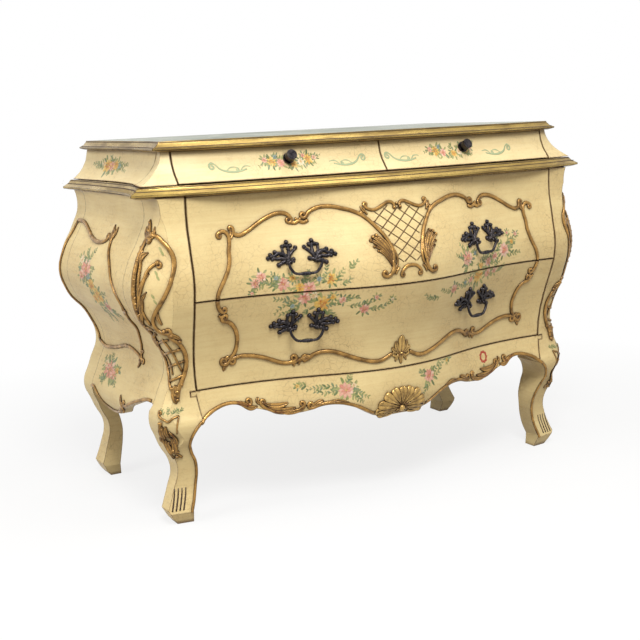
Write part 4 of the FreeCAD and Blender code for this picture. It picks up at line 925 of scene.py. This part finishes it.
# Dark brown paint for the strips: painted shade of the grooves.
flute_shade = finish_of("flute_shade", aged_paint, 0.0004, Paint=as_shown(96, 62, 32),
                    Glaze=as_shown(60, 36, 18), Wood=as_shown(40, 24, 12), Patchy=0.6, Rubbed=0.3)
laid_both_ways(flutes, "flutes", corner_left, corner_right, "carcase", "carcase", flute_shade)
# ---------------------------------------------------------------- drop handles
# Cast bronze, gone nearly black. Each handle has two pierced plates of curled leaves, an eyed
# post on each, and a bail with a twisted grip that swings in the eyes.

def turned(name, outline, sides=16):
    """A turned piece from (along, radius) points, its axis along +X."""
    bpy.ops.object.select_all(action="DESELECT")
    bpy.ops.mesh.primitive_cylinder_add(vertices=sides, depth=1.0, radius=1.0,
                                        end_fill_type="TRIFAN")
    piece = bpy.context.object
    piece.name = name
    rings = []
    corners, faces = [], []
    for along_axis, radius in outline:
        rings.append(len(corners))
        for i in range(sides):
            bearing = 2 * math.pi * i / sides
            corners.append((along_axis, radius * math.cos(bearing), radius * math.sin(bearing)))
    for low, high in zip(rings, rings[1:]):
        faces += [(low + i, low + (i + 1) % sides, high + (i + 1) % sides, high + i)
                  for i in range(sides)]
    faces += [tuple(rings[0] + i for i in range(sides))[::-1],
              tuple(rings[-1] + i for i in range(sides))]
    piece.data.clear_geometry()
    piece.data.from_pydata(corners, [], faces)
    bpy.ops.object.shade_smooth_by_angle(angle=math.radians(40))
    return piece


post_spread, post_reach = 31.0, 16.5
# Branches of one plate, (outwards, up) from its post, and the knobs that end them.
branches = (
    ([(0, 0), (-3, 12), (-4, 24), (-2, 36)], 4.6),
    ([(2, 2), (9, 14), (19, 18), (30, 13), (40, 12)], 4.4),
    ([(4, 2), (13, 7), (24, 6), (34, 9)], 4.2), ([(-2, 10), (-10, 18), (-19, 26)], 4.0),
    ([(-1, 2), (-8, 2), (-12, 3)], 4.0), ([(6, 0), (14, -3), (21, -6)], 4.4),
    ([(5, 10), (9, 21), (9, 31)], 3.6), ([(13, 14), (21, 19), (26, 22)], 3.4),
)
buds = ((44, 9, 5.0), (38, 16, 4.8), (35, 6, 4.2), (27, 21, 5.0), (18, 18, 4.2), (9, 32, 4.8),
        (3, 34, 4.4), (-2, 41, 5.0), (-9, 33, 5.0), (-20, 28, 5.0), (-13, 21, 4.2), (-12, 3, 5.2),
        (22, -7, 5.4), (14, -2, 4.4), (9, 5, 4.4), (3, -4, 4.2), (0, 0, 6.6), (4, 12, 4.6))
for joint in frame["joints"]:
    if joint["type"] != "hinge":
        continue
    bail_body = joint["child"]
    drawer_body = joint["parent"]
    pivot = Vector(joint["pos_m"])
    sideways = -Vector(joint["axis"])
    outward = Vector((sideways.y, -sideways.x, 0))
    plate_name = bail_body.replace("bail", "handle_plates")
    hands = []
    for flip in (-1, 1):
        foot = pivot + sideways * (flip * post_spread * 0.001)
        stalks = carve_ribs("stalks", [
            [(flip * a, b, wide * (1.0 - 0.2 * i / (len(run) - 1))) for i, (a, b) in enumerate(run)]
            for run, wide in branches], flatness=1.1, lift=1.5)
        knobs = [carve_bead(flip * a, b, wide, wide * 1.35) for a, b, wide in buds]
        plate = joined("plate", [stalks] + knobs)
        Face((foot.x, 0, foot.z), (1, 0, 0), (0, 1, 0), drawer_body + "_front").lay(plate)
        stem = turned("stem", [(-15.5, 6.0), (-13.0, 5.4), (-11.0, 3.6), (-7.0, 3.2), (-4.8, 3.2),
                               (-3.6, 2.2)])
        bpy.ops.object.select_all(action="DESELECT")
        bpy.ops.mesh.primitive_torus_add(major_segments=20, minor_segments=10, major_radius=4.5,
                                         minor_radius=1.6)
        eye = bpy.context.object
        for vertex in stem.data.vertices:
            out, a, b = vertex.co
            vertex.co = foot + (outward * out + sideways * a) * 0.001 + Vector((0, 0, b * 0.001))
        for vertex in eye.data.vertices:
            a, b, c = vertex.co
            vertex.co = foot + (outward * a + sideways * c) * 0.001 + Vector((0, 0, b * 0.001))
        bpy.ops.object.shade_smooth()
        hands += [plate, stem, eye]
    plates = joined(plate_name + "_cast", hands)
    outwards_again(plates)
    plates.data.materials.clear()
    plates.data.materials.append(black_bronze)
    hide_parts(plate_name)
    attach(plates, drawer_body)

    half_bail = [(24.0, 0.0, 2.2), (28.5, 0.0, 2.3), (33.5, 0.0, 2.5), (35.8, -1.2, 2.9),
                 (37.0, -4.5, 3.2), (36.0, -10.0, 3.3), (33.4, -15.5, 3.2), (30.0, -20.5, 3.2),
                 (26.0, -24.6, 3.3), (21.5, -27.0, 3.3), (17.5, -27.8, 2.9), (15.5, -28.0, 3.9),
                 (13.5, -28.0, 2.7), (11.0, -28.0, 3.6), (8.6, -28.0, 4.3), (6.6, -28.0, 4.0),
                 (4.4, -28.0, 4.8), (2.2, -28.0, 4.3)]
    grip = carve_ribs("grip", [half_bail + [(0.0, -28.0, 5.0)]
                               + [(-a, b, r) for a, b, r in half_bail[::-1]]],
                      flatness=1.0, lift=0.0, sides=4)
    ends = [turned("end", [(flip * 23.0, 0.6), (flip * 23.8, 2.6), (flip * 25.2, 3.5),
                           (flip * 26.6, 2.6), (flip * 27.2, 1.5)], sides=12) for flip in (-1, 1)]
    bail = joined(bail_body + "_cast", [grip] + ends)
    for vertex in bail.data.vertices:
        a, out, b = vertex.co
        vertex.co = pivot + (sideways * a - outward * out) * 0.001 + Vector((0, 0, b * 0.001))
    outwards_again(bail)
    bail.data.materials.clear()
    bail.data.materials.append(black_bronze)
    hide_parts(bail_body)
    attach(bail, bail_body)
# ---------------------------------------------------------------- painted shade lines on the mouldings
# Thin dark brown lines are laid along the quirks of the gilded mouldings, as painted shade where
# the profile steps back.

# Dark brown lines: painted shade in the quirks.
quirk_shade_lines = finish_of("quirk_shade_lines", bare_wood, 0.0002, Pale=as_shown(74, 50, 24),
                       Dark=as_shown(40, 26, 12))
# Each line is (height, how far the moulding stands back from its lip there).
for board, corner, levels in (
    ("top_moulding", 549, ((857.4, 18.2), (847.0, 5.0), (841.2, 4.0))),
    ("waist_moulding", 611, ((764.0, 18.0), (757.0, 8.0), (745.5, 8.0))),
):
    for word, shift, across_way, into_way in (("front", 0, (1, 0, 0), (0, 1, 0)),
                                              ("left", back_shift, (0, 1, 0), (1, 0, 0)),
                                              ("right", back_shift, (0, 1, 0), (-1, 0, 0))):
        lines = []
        for level, back in levels:
            if word == "front":
                first, last = back + 3 - corner, corner - back - 3
            else:
                first, last = 16 + 0.55 * back, 546
            lines.append(rib([(first + (last - first) * i / 24, level) for i in range(25)], 0.95))
        strip = carve_ribs(board + "_lines_" + word, lines, flatness=0.25, lift=0.0, sides=2)
        strip.data.name = strip.name
        Face((0, shift, 0), across_way, into_way, board + "_" + word).lay(strip)
        strip.data.materials.append(quirk_shade_lines)
        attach(strip, "carcase")
# ---------------------------------------------------------------- painted flowers
# Sprays of pink and yellow roses with thin green leaves, painted by hand in thick dabs over the
# cream, and sage-green scrolls on the small drawers.

g = Group("brushed", ("Paint", "Thin"))
bristles = g.noise(380.0, 3.0)
worn = g.noise(90.0, 4.0)
shade = g.blended(g.steepened(bristles, 0.42, 0.75, 0.0, 0.25), g.takes["Paint"], g.takes["Thin"])
g.gives(Color=g.blended(g.steepened(worn, 0.52, 0.78, 0.0, 0.4), shade, g.takes["Thin"]),
        Roughness=g.steepened(worn, 0.3, 0.7, 0.45, 0.6), Height=bristles)
flower_paint = finish_of("flower_paint", g.tree, 0.0002, Thin=as_shown(226, 208, 158))
flower_tree = flower_paint.node_tree
dab_colour = put(flower_tree, "Attribute", attribute_name="dab")
flower_group = [node for node in flower_tree.nodes if node.type == "GROUP"][0]
flower_tree.links.new(dab_colour.outputs["Color"], flower_group.inputs["Paint"])
sage_paint = finish_of("sage_paint", g.tree, 0.0002, Paint=as_shown(158, 172, 132),
                       Thin=as_shown(206, 200, 152))

pinks = ((244, 206, 184), (236, 178, 156), (224, 148, 128), (204, 116, 98))
yellows = ((244, 214, 132), (236, 192, 92), (226, 166, 66), (198, 122, 44))
whites = ((246, 232, 202), (242, 220, 182), (236, 204, 160), (222, 176, 120))
blues = ((170, 188, 180), (146, 170, 168), (118, 148, 152), (92, 120, 128))
greens = ((136, 146, 84), (154, 162, 104), (108, 128, 76), (164, 166, 102), (88, 110, 62),
          (122, 142, 104))
leaf_vein, heart_yellow, heart_brown = (84, 104, 62), (214, 176, 84), (112, 96, 44)


def stride(bearing, reach):
    """How far across and up a step along a bearing goes."""
    return reach * math.cos(math.radians(bearing)), reach * math.sin(math.radians(bearing))


class Brush:
    """Collects dabs of paint, flat, until a spray is finished."""

    def __init__(self, seed, twigs, roses, size=13.0):
        self.corners, self.faces, self.colours = [], [], []
        self.chance = random.Random(seed)
        for twig in twigs:
            self.twig(*twig, size=size)
        for rose in roses:
            self.rose(*rose)

    def dab(self, across, up, length, wide, bearing, colour, height=0.3):
        """A leaf-shaped or round dab that starts at a place and runs along a bearing."""
        ahead = stride(bearing, 1.0)
        first = len(self.corners)
        rim = []
        for i in range(10):
            turn = 2 * math.pi * i / 10
            a, b = 0.5 * length * (1 - math.cos(turn)), 0.5 * wide * math.sin(turn)
            rim.append((across + a * ahead[0] - b * ahead[1], -0.10,
                        up + a * ahead[1] + b * ahead[0]))
        heart = (across + 0.5 * length * ahead[0], up + 0.5 * length * ahead[1])
        self.corners += rim + [(heart[0], -height, heart[1]), (heart[0], 0.3, heart[1])]
        for i in range(10):
            j = (i + 1) % 10
            self.faces += [(first + i, first + j, first + 10), (first + j, first + i, first + 11)]
        edge = as_shown(*(0.9 * v for v in colour))
        self.colours += [edge] * 10 + [as_shown(*colour)] * 2

    def rose(self, across, up, size, paints):
        """An open rose: rings of narrow petals round a yellow heart, with leaves behind it."""
        reach = 0.72 * size
        turn = self.chance.uniform(0, 40)
        for i in range(7):
            bearing = turn + 51 * i + self.chance.uniform(-16, 16)
            a, b = stride(bearing, 0.6 * reach)
            self.dab(across + a, up + b, 4.0 + reach * self.chance.uniform(0.6, 0.95),
                     2.0 + 0.22 * reach, bearing + self.chance.uniform(-28, 28),
                     self.chance.choice(greens), 0.26)
        for ring, (petals, begin, length, wide) in enumerate(
                ((9, 0.30, 0.70, 0.46), (7, 0.12, 0.52, 0.34), (5, 0.04, 0.32, 0.2))):
            for i in range(petals):
                bearing = turn + 360 * i / petals + 14 * ring + self.chance.uniform(-5, 5)
                a, b = stride(bearing, begin * reach)
                self.dab(across + a, up + b, reach * length * self.chance.uniform(0.88, 1.1),
                         reach * wide, bearing,
                         paints[min(3, ring + self.chance.choice((0, 1, 1, 2)))],
                         0.34 + 0.14 * ring)
        self.dab(across - 0.14 * reach, up, 0.28 * reach, 0.28 * reach, 0, heart_yellow, 0.74)
        self.dab(across - 0.05 * reach, up, 0.12 * reach, 0.12 * reach, 0, heart_brown, 0.84)

    def twig(self, across, up, bearing, length, leaves, bend=0, blooms=(), size=13.0):
        """A curving stalk with leaves on both sides and small blooms at its end."""
        joints = max(4, leaves)
        for i in range(joints):
            run = length / joints
            self.dab(across, up, run * 1.25, 0.9, bearing, greens[i % 3], 0.24)
            a, b = stride(bearing, run)
            across += a
            up += b
            shrink = 1.0 - 0.5 * i / joints
            for side in (-1, 1):
                lean = bearing + side * self.chance.uniform(24, 62)
                long = size * shrink * self.chance.uniform(0.6, 1.1)
                self.dab(across, up, long, 0.4 * long, lean, self.chance.choice(greens), 0.3)
                self.dab(across, up, 0.8 * long, 0.1 * long, lean, leaf_vein, 0.4)
            bearing += bend + self.chance.uniform(-7, 7)
        for paints, bloom in blooms:
            self.rose(across, up, bloom, paints)

    def stretch(self, middle, share):
        """Draw the spray out sideways about a middle."""
        self.corners = [(middle + share * (a - middle), b, c) for a, b, c in self.corners]

    def finish(self, name, face, body, above=None, below=None):
        """Lay the spray on a board, without what would pass the board's edges."""
        bpy.ops.object.select_all(action="DESELECT")
        bpy.ops.mesh.primitive_plane_add()
        spray = bpy.context.object
        spray.name = spray.data.name = name
        spray.data.clear_geometry()
        spray.data.from_pydata(self.corners, [], self.faces)
        layer = spray.data.color_attributes.new("dab", "FLOAT_COLOR", "POINT")
        for point, colour in zip(layer.data, self.colours):
            point.color = colour
        if above is not None:
            cut_off(spray, above, True)
        if below is not None:
            cut_off(spray, below, False)
        for vertex in spray.data.vertices:
            vertex.co = face.place(vertex.co)
        spray.data.materials.append(flower_paint)
        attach(spray, body)


# Sprays across the split between the large drawers. What passes the split is painted on the other
# drawer. Twigs are (across, up, bearing, length, leaves, bend, blooms), roses (across, up, size,
# colours).
faces = {"upper": Face((0, 0, 0), (1, 0, 0), (0, 1, 0), "upper_drawer_front"),
         "lower": Face((0, 0, 0), (1, 0, 0), (0, 1, 0), "lower_drawer_front")}
limits = {"upper": {"above": split_top}, "lower": {"below": split_base}}
for own, other, word, seed, twigs, roses in (
    ("upper", "lower", "left", 11, (
        (-292, 532, 150, 66, 7, 7, ((pinks, 17),)), (-300, 530, 172, 52, 6, -6, ((pinks, 9),)),
        (-296, 534, 118, 34, 5, 8), (-250, 527, 74, 38, 5, -6), (-205, 530, 60, 40, 5, 6),
        (-192, 536, 24, 40, 5, 8), (-236, 527, 100, 30, 4, 0), (-170, 527, 8, 26, 4, 10),
        (-330, 545, 205, 40, 5, 10, ((pinks, 7),)), (-150, 556, 60, 28, 4, -10),
    ), (
        (-342, 557, 19, pinks), (-292, 537, 22, pinks), (-254, 526, 17, yellows),
        (-236, 524, 24, pinks), (-187, 541, 20, yellows), (-272, 548, 12, yellows),
        (-214, 543, 9, blues), (-308, 552, 8, blues),
    )),
    ("upper", "lower", "right", 12, (
        (186, 550, 110, 40, 5, 8), (186, 548, 150, 40, 5, 6), (215, 536, 178, 46, 6, -6),
        (240, 532, 60, 34, 5, -8), (300, 548, 60, 46, 6, 8),
        (330, 552, 20, 56, 7, 8, ((pinks, 9),)), (326, 548, 48, 52, 6, 8, ((pinks, 7),)),
        (266, 528, 5, 40, 5, 0), (340, 545, -10, 36, 5, 6), (190, 540, 235, 26, 4, 0),
    ), (
        (186, 551, 27, pinks), (324, 555, 25, pinks), (266, 532, 17, pinks), (290, 543, 14, pinks),
        (238, 527, 13, yellows), (352, 572, 10, yellows), (216, 560, 8, blues),
    )),
    ("lower", "upper", "left", 13, (
        (-205, 484, 350, 60, 7, 5), (-150, 476, 350, 70, 8, 6, ((pinks, 9),)),
        (-100, 464, 352, 62, 8, 8, ((whites, 7),)), (-250, 496, 190, 62, 7, 8),
        (-246, 488, 214, 50, 6, -6), (-230, 480, 240, 36, 5, 0), (-190, 474, 300, 30, 5, 0),
        (-160, 490, 20, 34, 5, -8), (-268, 498, 176, 40, 5, 0),
    ), (
        (-244, 501, 21, pinks), (-204, 485, 27, yellows), (-224, 506, 13, whites),
        (-160, 490, 13, pinks), (-108, 465, 17, pinks), (-182, 500, 11, yellows),
        (-268, 484, 8, blues),
    )),
    ("lower", "upper", "right", 14, (
        (200, 486, 185, 60, 7, -5), (150, 480, 188, 50, 6, -4), (100, 470, 190, 52, 7, -5),
        (238, 500, 150, 40, 5, 8), (244, 502, 30, 46, 6, 8, ((pinks, 9),)),
        (262, 498, 10, 56, 7, 8), (230, 488, 250, 30, 5, 0), (300, 500, 40, 30, 4, 0),
    ), (
        (234, 501, 25, yellows), (143, 483, 17, pinks), (268, 505, 17, pinks),
        (205, 496, 12, pinks), (292, 508, 12, pinks), (184, 492, 8, blues),
    )),
):
    brush = Brush(seed, twigs, roses)
    for drawer, tail in ((own, ""), (other, "_tips")):
        brush.finish("spray_%s_%s%s" % (own, word, tail), faces[drawer], drawer + "_drawer",
                     **limits[drawer])

# Two sprays on the apron, and a small red ring to the right of them.
apron_top = 308.6   # just clear of the apron's top edge
ring_middle, ring_red = (291, 283), (186, 30, 14)
brush = Brush(15, (
    (-150, 279, 172, 74, 9, 3), (-150, 272, 186, 58, 7, -4), (-132, 268, 352, 44, 6, -5),
    (-130, 264, 320, 34, 5, 0), (-140, 284, 60, 26, 4, 0), (-220, 288, 165, 30, 4, 0),
    (92, 280, 34, 66, 8, -3), (84, 268, 230, 34, 5, 0), (90, 270, 12, 60, 7, 6),
    (74, 280, 150, 22, 4, 0), (140, 300, 20, 40, 6, 4),
), (
    (-139, 272, 27, pinks), (84, 276, 24, pinks), (-246, 291, 8, yellows),
    (-120, 282, 9, whites), (150, 302, 8, yellows),
))
for way in range(0, 360, 40):
    brush.dab(ring_middle[0] + 9 * math.cos(math.radians(way)),
              ring_middle[1] + 11 * math.sin(math.radians(way)), 11, 6.2, way + 90, ring_red, 0.6)
brush.twig(ring_middle[0], 268, 250, 14, 3, size=5)
brush.finish("sprays_on_apron", Face((0, 0, 0), (1, 0, 0), (0, 1, 0), "front_apron"), "carcase",
             below=apron_top)

# A spray round each knob, between two sage-green scrolls.
frieze_row = 803   # the middle height of the frieze
small_twigs = ((-30, 172, 46, 6, 3), (-20, 150, 34, 5, 5), (30, 8, 46, 6, 3), (22, 28, 34, 5, -5),
               (-24, 200, 36, 5, -4), (26, 338, 36, 5, 4), (0, 70, 16, 3, 0), (0, 250, 16, 3, 0))
small_roses = ((-44, 804, 17, yellows), (-24, 800, 15, pinks), (-60, 808, 10, pinks),
               (44, 805, 17, yellows), (26, 800, 13, whites), (60, 808, 9, pinks),
               (-34, 813, 8, blues), (8, 796, 13, yellows), (34, 813, 8, pinks))
for word, middle, seed in (("left", -235, 16), ("right", 200, 17)):
    small_face = Face((0, 0, 0), (1, 0, 0), (0, 1, 0), "small_drawer_%s_front" % word)
    brush = Brush(seed, [(middle + twig[0], frieze_row) + twig[1:] for twig in small_twigs],
                  [(middle + rose[0],) + rose[1:] for rose in small_roses], 9.0)
    brush.finish("spray_small_" + word, small_face, "small_drawer_" + word)
    scrolls = []
    for side in (-1, 1):
        def out(*points):
            return [(middle + side * a, b) for a, b in points]
        scrolls += [
            rib(out((178, 806), (166, 794), (146, 788), (124, 788), (106, 792)), 2.6, taper=0.6,
                start=(-side, 8)),
            rib(out((154, 790), (142, 797), (128, 796)), 1.8, taper=0.5, end=(side, 4)),
            rib(out((122, 789), (110, 798), (96, 797)), 1.8, taper=0.5),
        ]
    scroll_paint = carve_ribs("scrolls_" + word, scrolls, flatness=0.12, lift=0.0, sides=2)
    small_face.lay(scroll_paint)
    scroll_paint.data.materials.append(sage_paint)
    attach(scroll_paint, "small_drawer_" + word)

# Sprays on each side: in the cartouche, on the hip of the back leg and on the frieze, then single
# leaves on the post and the knee. Each is drawn out sideways about its middle.
side_sprays = (
    ("side", 21, 15.0, 306, 1.45, (
        (330, 560, 100, 60, 8, 4), (320, 560, 70, 50, 7, 4), (330, 540, 150, 50, 7, -4),
        (290, 500, 250, 60, 8, 4), (280, 500, 220, 56, 7, 4), (300, 520, 20, 50, 6, 4),
        (300, 480, 300, 46, 6, 4), (290, 510, 160, 46, 6, 4), (270, 480, 190, 44, 6, 4),
    ), (
        (325, 566, 34, pinks), (345, 548, 20, pinks), (303, 530, 26, yellows),
        (284, 506, 30, yellows), (306, 496, 20, yellows), (262, 482, 20, pinks),
        (350, 584, 16, whites), (312, 548, 14, blues),
    )),
    ("hip", 23, 15.0, 378, 1.7, (
        (388, 302, 160, 40, 6, 3), (380, 300, 20, 40, 6, 4), (376, 296, 330, 40, 6, 4),
        (384, 306, 80, 30, 5, 3), (370, 300, 230, 34, 5, 3), (390, 298, 280, 30, 5, 3),
    ), (
        (384, 302, 32, pinks), (366, 294, 18, pinks), (402, 312, 14, whites),
        (356, 308, 12, yellows),
    )),
    ("frieze", 22, 11.0, 362, 1.7, (
        (340, frieze_row, 172, 44, 6, 2), (334, frieze_row, 195, 36, 5, 2),
        (386, frieze_row, 10, 40, 6, 2), (380, frieze_row, 340, 32, 5, 2),
        (360, frieze_row, 80, 20, 4, 2), (360, frieze_row, 262, 18, 3, 2),
    ), (
        (372, 803, 24, yellows), (356, 801, 20, pinks), (342, 804, 18, yellows),
        (388, 806, 12, whites), (328, 802, 10, blues),
    )),
)
for word, face, corner, inwards in (("left", side_left, corner_left, 1),
                                    ("right", side_right, corner_right, -1)):
    frieze_face = Face((0, back_shift, 0), (0, 1, 0), (inwards, 0, 0), "frieze_side_" + word)
    for name, seed, size, middle, share, twigs, roses in side_sprays:
        brush = Brush(seed, twigs, roses, size)
        brush.stretch(middle, share)
        brush.finish("spray_%s_%s" % (name, word), frieze_face if name == "frieze" else face,
                     "carcase")
    brush = Brush(24, ((-6, 262, 110, 16, 3), (4, 262, 84, 18, 3), (12, 264, 60, 16, 3),
                       (20, 266, 40, 14, 3)), (), 8.0)
    for across, up in ((18, 640), (22, 632), (8, 590), (12, 580), (-2, 540), (2, 528)):
        brush.dab(across, up, 13, 5.5, -58, greens[3], 0.3)
    brush.finish("leaf_touches_" + word, corner, "carcase")

# ---------------------------------------------------------------- smooth painted skins
# The boards are sanded to one flowing skin under the paint, so their strips share their normals
# and only the real corners stay sharp.

for name in nodes:
    if name.endswith("_front") or name.startswith(("front_", "back_post", "side_panel", "frieze_")):
        board = bpy.data.objects[name]
        weld = board.modifiers.new("weld", "WELD")
        weld.merge_threshold = 0.00002
        corner_split = board.modifiers.new("corner_split", "EDGE_SPLIT")
        corner_split.split_angle = math.radians(32)
        corner_split.use_edge_sharp = False
        evened = board.modifiers.new("evened_normals", "WEIGHTED_NORMAL")
        evened.keep_sharp = False
